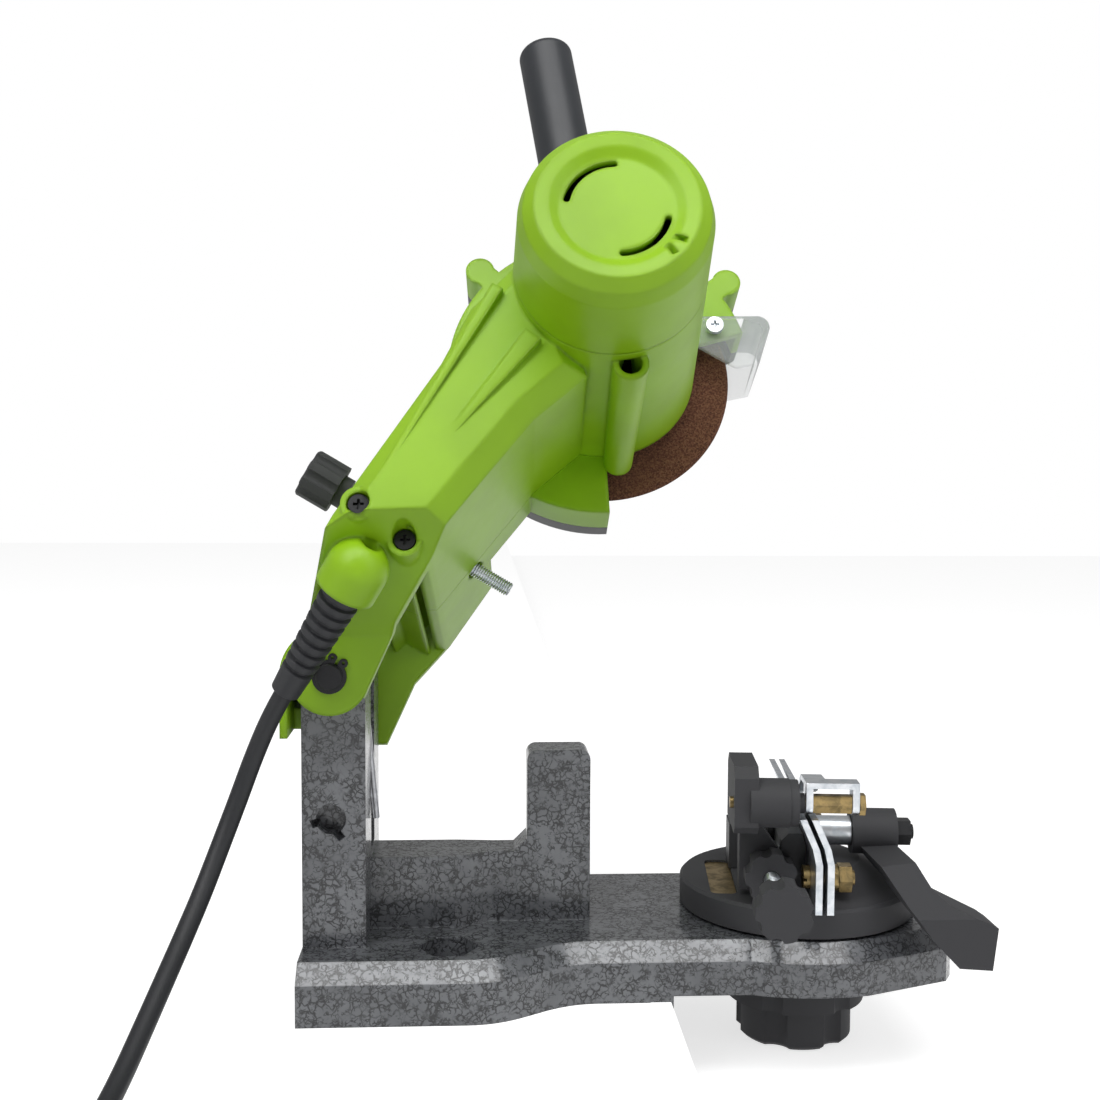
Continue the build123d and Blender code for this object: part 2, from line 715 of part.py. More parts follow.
def sector(radius, level):
    """Sector of the guard at a level along the motor's axis."""
    with BuildSketch(HEAD.offset(level)) as piece:
        with BuildLine():
            Line((0, 0), polar(radius, GUARD_FROM))
            CenterArc((0, 0), radius, GUARD_FROM, SECTOR_SPAN)
            Line(polar(radius, GUARD_TO), (0, 0))
        make_face()
    return piece.sketch


def ear_places():
    """Centres of the guard's two screw ears."""
    return [polar(EAR_OFFSET, angle) for angle in EAR_ANGLES]


ear_webs = [Location(polar(EAR_OFFSET - 6, angle), angle) for angle in EAR_ANGLES]


# ----------------------------------------------------------------- housing shells
BOSS_TOP = (6.0, -36.0)
BOSS_FOOT = (6.0, -41.0)
BOSS_RADIUS = 6.5
BOSS_FOOT_RADIUS = 5.8
SCREW_RADIUS = 1.75
STATOR_RIB_ANGLES = (20, 110, 200, 300)
STATOR_RIB = 2.2
BEND_SCREWS = ((-88.0, -86.6), (-73.0, -96.0))
BEND_HEADS = (79.0, 69.0)

with BuildPart() as housing_form:
    add(arm_outer.part)
    add(arm_ridges.part)
    add(body_form.part)
    # guard rim on the wheel side and the near plate of the guard
    extrude(sector(GUARD_RADIUS, GUARD_SPLIT), amount=RIM_LEVEL - GUARD_SPLIT)
    with BuildSketch(HEAD.offset(GUARD_SPLIT)):
        for web in ear_webs:
            with Locations(web):
                Rectangle(12, 2 * EAR_BOSS - 2)
        with Locations(*ear_places()):
            Circle(EAR_BOSS)
    extrude(amount=RIM_LEVEL - GUARD_SPLIT)
    add(hinge_form.part)
    add(arm_inner.part, mode=Mode.SUBTRACT)
    add(body_hollow.part, mode=Mode.SUBTRACT)
    add(hinge_hollow.part, mode=Mode.SUBTRACT)
    add(arm_mouth.part, mode=Mode.SUBTRACT)
    # wall between the arm's hollow and the wheel's chamber
    extrude(sector(GUARD_RADIUS, GUARD_SPLIT), amount=RIM_LEVEL - GUARD_SPLIT)
    extrude(
        sector(GUARD_RADIUS - GUARD_WALL, GUARD_SPLIT - 1),
        amount=RIM_LEVEL - GUARD_PLATE + 1 - GUARD_SPLIT,
        mode=Mode.SUBTRACT,
    )
    with BuildSketch(HEAD.offset(GUARD_SPLIT - 1)):
        Circle(WHEEL_RADIUS + 1.5)
    extrude(amount=RIM_LEVEL - GUARD_PLATE + 1 - GUARD_SPLIT, mode=Mode.SUBTRACT)
    with BuildSketch(HEAD.offset(GUARD_SPLIT - 1)):
        Circle(HUB_HOLE)
    extrude(amount=RIM_LEVEL - GUARD_SPLIT + 4, mode=Mode.SUBTRACT)
    # hinge bores, screw holes and the way of the depth-stop rod
    add(hinge_form.part)
    with BuildSketch(side_plane(LUG_NEAR - 1)):
        with Locations((HINGE_X, HINGE_Z)):
            Circle(PIN_RADIUS + RUN_GAP)
    extrude(amount=-(LUG_FAR - LUG_NEAR + 2), mode=Mode.SUBTRACT)
    add(arm_ribs.part)
    add(rod_way.part, mode=Mode.SUBTRACT)
    with BuildSketch(HEAD.offset(GUARD_SPLIT - 1)):
        with Locations(*ear_places()):
            Circle(SCREW_RADIUS)
    extrude(amount=RIM_LEVEL - GUARD_SPLIT - 0.5, mode=Mode.SUBTRACT)

HANDLE = Plane(
    origin=HEAD.from_local_coords((*HANDLE_FOOT, HANDLE_LEVEL)),
    x_dir=MOTOR_DIR,
    z_dir=HEAD.y_dir * math.cos(math.radians(HANDLE_LEAN)) - HEAD.x_dir * math.sin(math.radians(HANDLE_LEAN)),
)
HANDLE_CORE = 7.5
HANDLE_GRIP_START = 10.0
STUB_LENGTH = 42.0
SWITCH_ANGLE = 52.0
SWITCH_LEVEL = 62.0
SWITCH_DIR = HEAD.x_dir * math.cos(math.radians(SWITCH_ANGLE)) + HEAD.y_dir * math.sin(math.radians(SWITCH_ANGLE))
SWITCH_RADIUS = 37.6
SWITCH = Plane(
    origin=HEAD.from_local_coords((*polar(SWITCH_RADIUS, SWITCH_ANGLE), SWITCH_LEVEL)),
    x_dir=MOTOR_DIR,
    z_dir=SWITCH_DIR,
)
CAP_NOTCHES = (24, 156, 246, 294)

BOOT_START = Vector(-177.9, -80.0, 160.6)
BOOT_DIR = Vector(-23.7, 15.0, -39.2).normalized()
BOOT = Plane(origin=BOOT_START, z_dir=BOOT_DIR)
DOME_RADIUS = 11.0
DOME_LENGTH = 9.0

with BuildPart() as stator_ribs:
    for angle in STATOR_RIB_ANGLES:
        with BuildSketch(HEAD.offset(STATOR_FROM - 2)):
            with Locations(Location(polar(STATOR_RADIUS + SEAT_GAP + 3, angle), angle)):
                Rectangle(6, STATOR_RIB)
        extrude(amount=STATOR_TO - STATOR_FROM + 4)

with BuildPart() as main_housing:
    add(housing_form.part)
    split(bisect_by=HEAD.offset(RIM_LEVEL), keep=Keep.TOP)
    # screw boss along the underside of the motor barrel
    with BuildSketch(HEAD.offset(RIM_LEVEL)):
        with Locations(BOSS_FOOT):
            Circle(BOSS_FOOT_RADIUS)
    with BuildSketch(HEAD.offset(ARM_FACE)):
        with Locations(BOSS_TOP):
            Circle(BOSS_RADIUS)
    loft()
    with BuildSketch(HEAD.offset(ARM_FACE)):
        with Locations(BOSS_TOP):
            Circle(SCREW_RECESS)
    extrude(amount=-20, mode=Mode.SUBTRACT)
    with BuildSketch(HEAD.offset(ARM_FACE)):
        with Locations(BOSS_TOP):
            Circle(SCREW_RADIUS)
    extrude(amount=-56, mode=Mode.SUBTRACT)
    # sleeves and holes of the two screws at the bend
    for place, level in zip(BEND_SCREWS, BEND_HEADS):
        with BuildSketch(HEAD.offset(level + 3)):
            with Locations(place):
                Circle(SCREW_RECESS + 2)
        extrude(amount=-26)
        with BuildSketch(HEAD.offset(ARM_FACE + 10)):
            with Locations(place):
                Circle(SCREW_RECESS)
        extrude(amount=level - ARM_FACE - 10, mode=Mode.SUBTRACT)
        with BuildSketch(HEAD.offset(level + 1)):
            with Locations(place):
                Circle(SCREW_RADIUS)
        extrude(amount=-22, mode=Mode.SUBTRACT)
    # stub that the handle is pushed over
    with BuildSketch(HANDLE):
        Circle(HANDLE_CORE)
    extrude(amount=HANDLE_GRIP_START + STUB_LENGTH)
    with BuildSketch(HANDLE):
        Circle(HANDLE_RADIUS + 1.5)
    extrude(amount=HANDLE_GRIP_START - SEAT_GAP)
    add(body_hollow.part, mode=Mode.SUBTRACT)
    add(stator_ribs.part)
    # dome that the cord's boot comes out of
    with BuildSketch(BOOT.offset(-DOME_LENGTH)):
        Circle(DOME_RADIUS)
    extrude(amount=DOME_LENGTH)
    with Locations(BOOT_START - BOOT_DIR * DOME_LENGTH):
        Sphere(DOME_RADIUS)
    with BuildSketch(BOOT.offset(-2)):
        Circle(BOOT_TOP_RADIUS + RUN_GAP)
    extrude(amount=4, mode=Mode.SUBTRACT)
    with BuildSketch(BOOT.offset(-DOME_LENGTH - DOME_RADIUS)):
        Circle(CORD_RADIUS + RUN_GAP)
    extrude(amount=DOME_LENGTH + DOME_RADIUS, mode=Mode.SUBTRACT)
    # opening for the switch
    with BuildSketch(SWITCH.offset(-6)):
        Rectangle(SWITCH_HIGH, SWITCH_WIDE)
    extrude(amount=20, mode=Mode.SUBTRACT)
keep(main_housing, "main_housing")

with BuildPart() as rear_shell:
    add(housing_form.part)
    split(bisect_by=HEAD.offset(RIM_LEVEL), keep=Keep.BOTTOM)
keep(rear_shell, "rear_shell")

with BuildPart() as guard_cover:
    extrude(sector(GUARD_RADIUS, GUARD_BACK), amount=GUARD_SPLIT - GUARD_BACK)
    chamfer(guard_cover.faces().sort_by(SPIN)[0].edges().filter_by(GeomType.CIRCLE), length=2.0)
    with BuildSketch(HEAD.offset(GUARD_BACK)):
        for web in ear_webs:
            with Locations(web):
                Rectangle(12, 2 * EAR_BOSS - 2)
        with Locations(*ear_places()):
            Circle(EAR_BOSS)
    extrude(amount=GUARD_SPLIT - GUARD_BACK)
    extrude(
        sector(GUARD_RADIUS - GUARD_WALL, GUARD_BACK + GUARD_WALL),
        amount=GUARD_SPLIT - GUARD_BACK,
        mode=Mode.SUBTRACT,
    )
    with BuildSketch(HEAD.offset(GUARD_BACK + GUARD_WALL)):
        Circle(WHEEL_RADIUS + 1.5)
    extrude(amount=GUARD_SPLIT - GUARD_BACK, mode=Mode.SUBTRACT)
    with BuildSketch(HEAD.offset(GUARD_BACK - 1)):
        with Locations(*ear_places()):
            Circle(SCREW_RADIUS + 0.1)
    extrude(amount=GUARD_SPLIT - GUARD_BACK + 2, mode=Mode.SUBTRACT)
    with BuildSketch(HEAD.offset(GUARD_BACK - 1)):
        with Locations(*ear_places()):
            Circle(SCREW_HEAD + 0.2)
    extrude(amount=4, mode=Mode.SUBTRACT)
keep(guard_cover, "guard_cover")


def screw_group(places, head_level, reach, way):
    """Identical pan-head screws along the motor's axis, their points on the side the way gives."""
    with BuildPart() as group:
        with BuildSketch(HEAD.offset(head_level)):
            with Locations(*places):
                Circle(SCREW_HEAD)
        extrude(amount=-way * 2.4)
        with BuildSketch(HEAD.offset(head_level)):
            with Locations(*places):
                Circle(SCREW_RADIUS - 0.1)
        extrude(amount=way * reach)
        # cross recess
        with BuildSketch(HEAD.offset(head_level - way * 2.4)):
            with Locations(*places):
                Rectangle(3.6, 0.9)
                Rectangle(0.9, 3.6)
        extrude(amount=way * 1.4, mode=Mode.SUBTRACT)
    return group.part


with BuildPart() as guard_screws:
    add(screw_group(ear_places(), GUARD_BACK + 3.0, 22, 1))
keep(guard_screws, "guard_screws")

with BuildPart() as housing_screws:
    for place, level in zip(BEND_SCREWS, BEND_HEADS):
        add(screw_group([place], level, 18, -1))
    add(screw_group([BOSS_TOP], ARM_FACE - 20, 30, -1))
keep(housing_screws, "housing_screws")

# ----------------------------------------------------------------- motor cap
CAP_INNER = TUBE_TOP_RADIUS - CAP_WALL
REAR_SEAT = BEARING_RADIUS + RUN_GAP
with BuildPart() as motor_cap:
    with BuildSketch(HEAD_SECTION):
        with BuildLine():
            Polyline(
                (0, TUBE_TOP),
                (TUBE_TOP_RADIUS, TUBE_TOP),
                (TUBE_TOP_RADIUS - 1.4, CAP_TOP - 10),
                (TUBE_TOP_RADIUS - 3.2, CAP_TOP - 4),
                (CAP_RIDGE_RADIUS, CAP_TOP),
                (CAP_DISH_RADIUS + 3.5, CAP_TOP - 0.4),
                (CAP_DISH_RADIUS, CAP_TOP - CAP_DISH),
                (0, CAP_TOP - CAP_DISH),
                close=True,
            )
        make_face()
    revolve(axis=SPIN)
    with BuildSketch(HEAD_SECTION):
        with BuildLine():
            Polyline(
                (0, TUBE_TOP - 1),
                (CAP_INNER, TUBE_TOP - 1),
                (CAP_INNER - 1.4, CAP_TOP - 11),
                (CAP_RIDGE_RADIUS - 1, CAP_TOP - CAP_DISH - CAP_WALL),
                (0, CAP_TOP - CAP_DISH - CAP_WALL),
                close=True,
            )
        make_face()
    revolve(axis=SPIN, mode=Mode.SUBTRACT)
    # seat of the rear bearing
    with BuildSketch(HEAD.offset(REAR_BEARING)):
        Circle(REAR_SEAT + 2.6)
        Circle(REAR_SEAT, mode=Mode.SUBTRACT)
    extrude(amount=CAP_TOP - CAP_DISH - 1 - REAR_BEARING)
    with BuildSketch(HEAD.offset(REAR_BEARING + BEARING_WIDE)):
        Circle(REAR_SEAT + 1)
        Circle(SHAFT_RADIUS + 2, mode=Mode.SUBTRACT)
    extrude(amount=CAP_TOP - CAP_DISH - 1 - REAR_BEARING - BEARING_WIDE)
    # two arc vents in the dish
    for start, span in ((92, 76), (-86, 72)):
        with BuildSketch(HEAD.offset(CAP_TOP - CAP_DISH - CAP_WALL - 1)):
            with BuildLine():
                outer = CenterArc((0, 0), VENT_RADIUS + VENT_WIDTH / 2, start, span)
                inner = CenterArc((0, 0), VENT_RADIUS - VENT_WIDTH / 2, start, span)
                Line(outer @ 0, inner @ 0)
                Line(outer @ 1, inner @ 1)
            make_face()
            with Locations((outer @ 0 + inner @ 0) / 2, (outer @ 1 + inner @ 1) / 2):
                Circle(VENT_WIDTH / 2)
        extrude(amount=CAP_WALL + 2, mode=Mode.SUBTRACT)
    # angled notches in the cap's skirt
    for angle in CAP_NOTCHES:
        place = HEAD.offset(TUBE_TOP + 14) * Location((0, 0, 0), (0, 0, angle))
        with BuildSketch(Plane(place).rotated((0, 90, 0)).offset(TUBE_TOP_RADIUS - 3.2)):
            Rectangle(18, 2.2)
        extrude(amount=6, mode=Mode.SUBTRACT)
keep(motor_cap, "motor_cap")

# ----------------------------------------------------------------- motor and wheel
SHAFT_END = 124.0
NOSE_LEVEL = -13.5
CLAMP_FACE = WHEEL_THICK / 2
FLANGE_THICK = 2.6

head_ring(
    "motor_shaft",
    (
        (0, NOSE_LEVEL),
        (SHAFT_RADIUS - 0.6, NOSE_LEVEL),
        (SHAFT_RADIUS, NOSE_LEVEL + 0.6),
        (SHAFT_RADIUS, SHAFT_END - 2 - CAP_DISH),
        (0, SHAFT_END - 2 - CAP_DISH),
    ),
)
head_ring(
    "grinding_wheel",
    (
        (WHEEL_BORE, -CLAMP_FACE),
        (WHEEL_RADIUS - 1.2, -CLAMP_FACE),
        (WHEEL_RADIUS, -CLAMP_FACE + 1.2),
        (WHEEL_RADIUS, CLAMP_FACE - 1.2),
        (WHEEL_RADIUS - 1.2, CLAMP_FACE),
        (WHEEL_BORE, CLAMP_FACE),
    ),
)
head_ring(
    "inner_flange",
    (
        (SHAFT_RADIUS, -CLAMP_FACE + 0.2),
        (WHEEL_BORE - RUN_GAP, -CLAMP_FACE + 0.2),
        (WHEEL_BORE - RUN_GAP, CLAMP_FACE),
        (FLANGE_RADIUS, CLAMP_FACE),
        (FLANGE_RADIUS, CLAMP_FACE + FLANGE_THICK),
        (SHAFT_RADIUS + 4, CLAMP_FACE + FLANGE_THICK + 1),
        (SHAFT_RADIUS + 2.4, FRONT_BEARING),
        (SHAFT_RADIUS, FRONT_BEARING),
    ),
)
head_ring(
    "outer_flange",
    (
        (SHAFT_RADIUS, -CLAMP_FACE),
        (FLANGE_RADIUS, -CLAMP_FACE),
        (FLANGE_RADIUS - 1, -CLAMP_FACE - FLANGE_THICK),
        (SHAFT_RADIUS, -CLAMP_FACE - FLANGE_THICK),
    ),
)
with BuildPart() as flange_nut:
    with BuildSketch(HEAD.offset(-CLAMP_FACE - FLANGE_THICK)):
        RegularPolygon(6.5, 6, major_radius=False)
        Circle(SHAFT_RADIUS, mode=Mode.SUBTRACT)
    extrude(amount=-6.5)
keep(flange_nut, "flange_nut")

BEARING_PLATE_RADIUS = 35.2
with BuildPart() as bearing_plate:
    with BuildSketch(HEAD.offset(RIM_LEVEL)):
        Circle(BEARING_PLATE_RADIUS)
        Circle(SHAFT_RADIUS + 4, mode=Mode.SUBTRACT)
        with PolarLocations(24, 6):
            SlotOverall(12, 6, rotation=90, mode=Mode.SUBTRACT)
    extrude(amount=3)
    with BuildSketch(HEAD.offset(RIM_LEVEL)):
        Circle(BEARING_RADIUS + 3)
        Circle(SHAFT_RADIUS + 4, mode=Mode.SUBTRACT)
    extrude(amount=FRONT_BEARING + BEARING_WIDE - RIM_LEVEL)
    with BuildSketch(HEAD.offset(FRONT_BEARING)):
        Circle(BEARING_RADIUS + RUN_GAP)
    extrude(amount=BEARING_WIDE + 1, mode=Mode.SUBTRACT)
keep(bearing_plate, "bearing_plate")

with BuildPart() as ball_bearings:
    for level in (FRONT_BEARING, REAR_BEARING):
        with BuildSketch(HEAD_SECTION):
            with Locations(((BEARING_RADIUS + SHAFT_RADIUS + RUN_GAP) / 2, level + BEARING_WIDE / 2)):
                RectangleRounded(BEARING_RADIUS - SHAFT_RADIUS - RUN_GAP, BEARING_WIDE, 0.5)
        revolve(axis=SPIN)
keep(ball_bearings, "ball_bearings")

with BuildPart() as stator:
    with BuildSketch(HEAD.offset(STATOR_FROM)):
        Circle(STATOR_RADIUS)
        Circle(STATOR_BORE, mode=Mode.SUBTRACT)
        with PolarLocations(STATOR_BORE + 6, 4, start_angle=45):
            SlotOverall(9, 6, rotation=90, mode=Mode.SUBTRACT)
    extrude(amount=STATOR_TO - STATOR_FROM)
keep(stator, "stator")

with BuildPart() as rotor_core:
    with BuildSketch(HEAD.offset(STATOR_FROM)):
        Circle(ROTOR_RADIUS)
        Circle(SHAFT_RADIUS, mode=Mode.SUBTRACT)
        with PolarLocations(ROTOR_RADIUS - 2.5, 12):
            SlotOverall(6, 1.8, mode=Mode.SUBTRACT)
    extrude(amount=STATOR_TO - STATOR_FROM)
keep(rotor_core, "rotor_core")

with BuildPart() as commutator:
    with BuildSketch(HEAD.offset(COMM_LEVEL)):
        Circle(COMM_RADIUS)
        Circle(SHAFT_RADIUS, mode=Mode.SUBTRACT)
        with PolarLocations(COMM_RADIUS, 24):
            Rectangle(1.6, 0.4, mode=Mode.SUBTRACT)
    extrude(amount=COMM_LENGTH)
keep(commutator, "commutator")

with BuildPart() as cooling_fan:
    with BuildSketch(HEAD.offset(FAN_LEVEL)):
        Circle(FAN_RADIUS)
        Circle(SHAFT_RADIUS, mode=Mode.SUBTRACT)
    extrude(amount=2)
    with BuildSketch(HEAD.offset(FAN_LEVEL)):
        with PolarLocations(FAN_RADIUS - 8, 9):
            Rectangle(14, 1.6, rotation=28)
    extrude(amount=9)
    with BuildSketch(HEAD.offset(FAN_LEVEL)):
        Circle(SHAFT_RADIUS + 3)
        Circle(SHAFT_RADIUS, mode=Mode.SUBTRACT)
    extrude(amount=12)
keep(cooling_fan, "cooling_fan")

# brush ring carried by the cap, and the two carbon brushes in their boxes
BRUSH_RING_OUT = 31.2
BRUSH_RING_IN = 27.5
BRUSH_SIDE = 5.0
BRUSH_BOX = 8.0
BRUSH_FROM = COMM_RADIUS + 0.3
brush_centre = (BRUSH_RING_IN + 1 + BRUSH_FROM + 2) / 2
brush_length = BRUSH_RING_IN + 1 - BRUSH_FROM - 2
with BuildPart() as brush_ring:
    with BuildSketch(HEAD.offset(COMM_LEVEL + 1)):
        Circle(BRUSH_RING_OUT)
        Circle(BRUSH_RING_IN, mode=Mode.SUBTRACT)
        with Locations((brush_centre, 0), (-brush_centre, 0)):
            Rectangle(brush_length, BRUSH_BOX)
    extrude(amount=COMM_LENGTH - 2)
    with BuildSketch(HEAD.offset(COMM_LEVEL + COMM_LENGTH / 2 - BRUSH_SIDE / 2 - RUN_GAP)):
        with Locations((brush_centre - 1, 0), (-brush_centre + 1, 0)):
            Rectangle(brush_length + 1.4, BRUSH_SIDE + 2 * RUN_GAP)
    extrude(amount=BRUSH_SIDE + 2 * RUN_GAP, mode=Mode.SUBTRACT)
keep(brush_ring, "brush_ring")
with BuildPart() as carbon_brushes:
    with BuildSketch(HEAD.offset(COMM_LEVEL + COMM_LENGTH / 2 - BRUSH_SIDE / 2)):
        for side in (-1, 1):
            with Locations((side * (BRUSH_FROM + 7), 0)):
                Rectangle(14, BRUSH_SIDE)
    extrude(amount=BRUSH_SIDE)
keep(carbon_brushes, "carbon_brushes")

# ----------------------------------------------------------------- handle and switch
with BuildPart() as handle_grip:
    with BuildSketch(HANDLE.offset(HANDLE_GRIP_START)):
        Circle(HANDLE_RADIUS)
    extrude(amount=HANDLE_LENGTH - HANDLE_GRIP_START)
    fillet(handle_grip.faces().sort_by(Axis(HANDLE.origin, HANDLE.z_dir))[-1].edges(), radius=3)
    with BuildSketch(HANDLE.offset(HANDLE_GRIP_START)):
        Circle(HANDLE_CORE + RUN_GAP)
    extrude(amount=STUB_LENGTH + 1, mode=Mode.SUBTRACT)
keep(handle_grip, "handle_grip")

SWITCH_LIP = 1.6
ROCKER_STUD = 1.2
ROCKER = Plane(origin=SWITCH.origin + SWITCH.z_dir * 0.5, x_dir=SWITCH.x_dir, z_dir=SWITCH.y_dir * -1)
ROCKER_HALF = (SWITCH_WIDE - 4) / 2
with BuildPart() as switch_body:
    with BuildSketch(SWITCH.offset(-8)):
        Rectangle(SWITCH_HIGH - 2 * RUN_GAP, SWITCH_WIDE - 2 * RUN_GAP)
    extrude(amount=9.4)
    with BuildSketch(SWITCH.offset(0.6)):
        RectangleRounded(SWITCH_HIGH + 2 * SWITCH_LIP, SWITCH_WIDE + 2 * SWITCH_LIP, 1.4)
    extrude(amount=2)
    with BuildSketch(SWITCH.offset(-4.5)):
        Rectangle(SWITCH_HIGH - 4, SWITCH_WIDE - 4)
    extrude(amount=8, mode=Mode.SUBTRACT)
    with BuildSketch(ROCKER.offset(-ROCKER_HALF - 1.2)):
        Circle(ROCKER_STUD + RUN_GAP)
    extrude(amount=2 * ROCKER_HALF + 2.4, mode=Mode.SUBTRACT)
keep(switch_body, "switch_body")

with BuildPart() as switch_rocker:
    with BuildSketch(ROCKER.offset(SEAT_GAP - ROCKER_HALF)):
        with BuildLine():
            crest = ThreePointArc((-6.6, 2.9), (0, 1.8), (6.6, 2.9))
            Polyline(crest @ 1, (6.2, -0.9), (0, -3.1), (-6.2, -0.9), crest @ 0)
        make_face()
    extrude(amount=2 * (ROCKER_HALF - SEAT_GAP))
    with BuildSketch(ROCKER.offset(-ROCKER_HALF - 0.9)):
        Circle(ROCKER_STUD)
    extrude(amount=2 * ROCKER_HALF + 1.8)
keep(switch_rocker, "switch_rocker")

# ----------------------------------------------------------------- clear visor
CHEEK_NEAR = RIM_LEVEL + VISOR_SIDE_GAP
CHEEK_FAR = GUARD_BACK - VISOR_SIDE_GAP


def visor_outline(inset, level):
    """Outline of the visor's cheeks at a level along the motor's axis."""
    with BuildSketch(HEAD.offset(level)) as outline:
        with BuildLine():
            top = Line((41, 23.5), (66, 23.5))
            nose = TangentArc(top @ 1, (71, 17.5), tangent=(1, 0))
            front = Line(nose @ 1, (65.8, 2))
            Polyline(front @ 1, (56, 0), (40.5, 10), top @ 0)
        make_face()
        if inset:
            offset(amount=-inset, kind=Kind.INTERSECTION)
    return outline.sketch


with BuildPart() as visor:
    extrude(visor_outline(0, CHEEK_FAR - VISOR_THICK), amount=CHEEK_NEAR - CHEEK_FAR + 2 * VISOR_THICK)
    with BuildSketch(HEAD.offset(CHEEK_FAR)):
        with BuildLine():
            Polyline(
                (20, 50),
                (64, 21.5),
                (67.5, 21.1),
                (68.8, 17.9),
                (63.5, 1),
                (60, -12),
                (20, -12),
                close=True,
            )
        make_face()
    extrude(amount=CHEEK_NEAR - CHEEK_FAR, mode=Mode.SUBTRACT)
    with BuildSketch(HEAD.offset(CHEEK_FAR - VISOR_THICK - 1)):
        with Locations(VISOR_PIVOT):
            Circle(SCREW_RADIUS + 0.15)
    extrude(amount=CHEEK_NEAR - CHEEK_FAR + 2 * VISOR_THICK + 2, mode=Mode.SUBTRACT)
keep(visor, "visor")

with BuildPart() as visor_screws:
    for level, way in ((CHEEK_NEAR + VISOR_THICK + 0.3, 1), (CHEEK_FAR - VISOR_THICK - 0.3, -1)):
        with BuildSketch(HEAD.offset(level)):
            with Locations(VISOR_PIVOT):
                Circle(SCREW_HEAD)
        extrude(amount=way * 2.2)
        with BuildSketch(HEAD.offset(level)):
            with Locations(VISOR_PIVOT):
                Circle(SCREW_RADIUS - 0.1)
        extrude(amount=-way * (VISOR_THICK + 0.3 + VISOR_SIDE_GAP - 0.05))
        with BuildSketch(HEAD.offset(level + way * 2.2)):
            with Locations(VISOR_PIVOT):
                Rectangle(3.6, 0.9)
                Rectangle(0.9, 3.6)
        extrude(amount=-way * 1.4, mode=Mode.SUBTRACT)
keep(visor_screws, "visor_screws")

# ----------------------------------------------------------------- depth stop
with BuildPart() as depth_screw:
    with BuildSketch(ROD):
        Circle(ROD_RADIUS)
    extrude(amount=ROD_LENGTH)
    chamfer(depth_screw.faces().sort_by(Axis(ROD.origin, ROD.z_dir))[0].edges(), length=0.8)
keep(depth_screw, "depth_screw")

ROD_KNOB_FROM = ROD_LENGTH - 10
with BuildPart() as depth_knob:
    with BuildSketch(ROD.offset(ROD_KNOB_FROM)):
        Circle(ROD_KNOB)
        with PolarLocations(ROD_KNOB + 0.9, 8):
            Circle(2.4, mode=Mode.SUBTRACT)
    extrude(amount=ROD_KNOB_LONG)
    chamfer(depth_knob.faces().sort_by(Axis(ROD.origin, ROD.z_dir))[-1].edges(), length=0.7)
    with BuildSketch(ROD.offset(ROD_KNOB_FROM)):
        Circle(ROD_KNOB - 3.6)
    extrude(amount=-4)
    with BuildSketch(ROD.offset(ROD_KNOB_FROM - 5)):
        Circle(ROD_RADIUS + RUN_GAP)
    extrude(amount=16, mode=Mode.SUBTRACT)
keep(depth_knob, "depth_knob")

# ----------------------------------------------------------------- cord
boot_slope = (BOOT_TOP_RADIUS - BOOT_END_RADIUS) / BOOT_LENGTH
rib_pitch = (BOOT_LENGTH - 2 * BOOT_END_RADIUS) / BOOT_RIBS

with BuildPart() as cord_boot:
    with BuildSketch(Plane(origin=BOOT_START, x_dir=BOOT.x_dir, z_dir=BOOT.y_dir * -1)):
        with BuildLine():
            profile = [(CORD_RADIUS, -2), (BOOT_TOP_RADIUS, -2)]
            for rib in range(BOOT_RIBS):
                level = 3 + rib * rib_pitch
                radius = BOOT_TOP_RADIUS - boot_slope * level
                profile += [(radius, level), (radius - 1.3, level + 0.6)]
                profile += [(radius - 1.3, level + 1.6), (radius, level + 2.2)]
            profile += [(BOOT_END_RADIUS, BOOT_LENGTH), (CORD_RADIUS, BOOT_LENGTH)]
            Polyline(*profile, close=True)
        make_face()
    revolve(axis=Axis(BOOT_START, BOOT_DIR))
keep(cord_boot, "cord_boot")

# free stretch of the cord, from the boot down to the bench
CORD_START = BOOT_START + BOOT_DIR * BOOT_LENGTH
CORD_ROUTE = (
    (-205.9, -62.3, 114.3),
    (-213.0, -59.3, 98.2),
    (-218.6, -61.3, 82.4),
    (-223.8, -67.3, 67.6),
    (-228.3, -77.0, 53.8),
    (-232.6, -89.5, 41.8),
    (-236.4, -103.5, 31.2),
    (-239.9, -118.0, 21.2),
    (-242.9, -132.5, 12.6),
    (-245.6, -147.5, 6.6),
    (-248.0, -163.5, 3.8),
    (-249.6, -179.5, 3.5),
)
COIL_CENTRE = (-300.0, -196.0)
COIL_OUT = 50.0
COIL_TURNS = 3.2
COIL_LAYER = 7.6
COIL_FLOOR = CORD_RADIUS
COIL_END = 6.69  # turns at which the cord leaves the coil's third layer


def corner_radii(points):
    """Radius of each corner's arc: 0.45 of the shorter run over the tangent of half the turn."""
    radii = []
    for before, corner, after in zip(points, points[1:], points[2:]):
        turn = math.radians((corner - before).get_angle(after - corner))
        shorter = min((corner - before).length, (after - corner).length)
        radii.append(0.45 * shorter / math.tan(turn / 2))
    return radii


def coil_point(turn):
    """Place on the coil after some turns: in along the floor, out on top, then onto a third layer."""
    inward = COIL_TURNS - abs(turn - COIL_TURNS)
    radius = COIL_OUT - COIL_PITCH * abs(inward)
    level = COIL_FLOOR
    for change in (COIL_TURNS, 2 * COIL_TURNS):
        climb = min(max((turn - change + 0.25) / 0.5, 0), 1)
        level += COIL_LAYER * (3 * climb**2 - 2 * climb**3)
    across, along = polar(radius, -360 * turn)
    return Vector(COIL_CENTRE[0] + across, COIL_CENTRE[1] + along, level)


def coil_dir(turn):
    """Direction of the cord on the coil after some turns."""
    return (coil_point(turn + 0.001) - coil_point(turn - 0.001)).normalized()


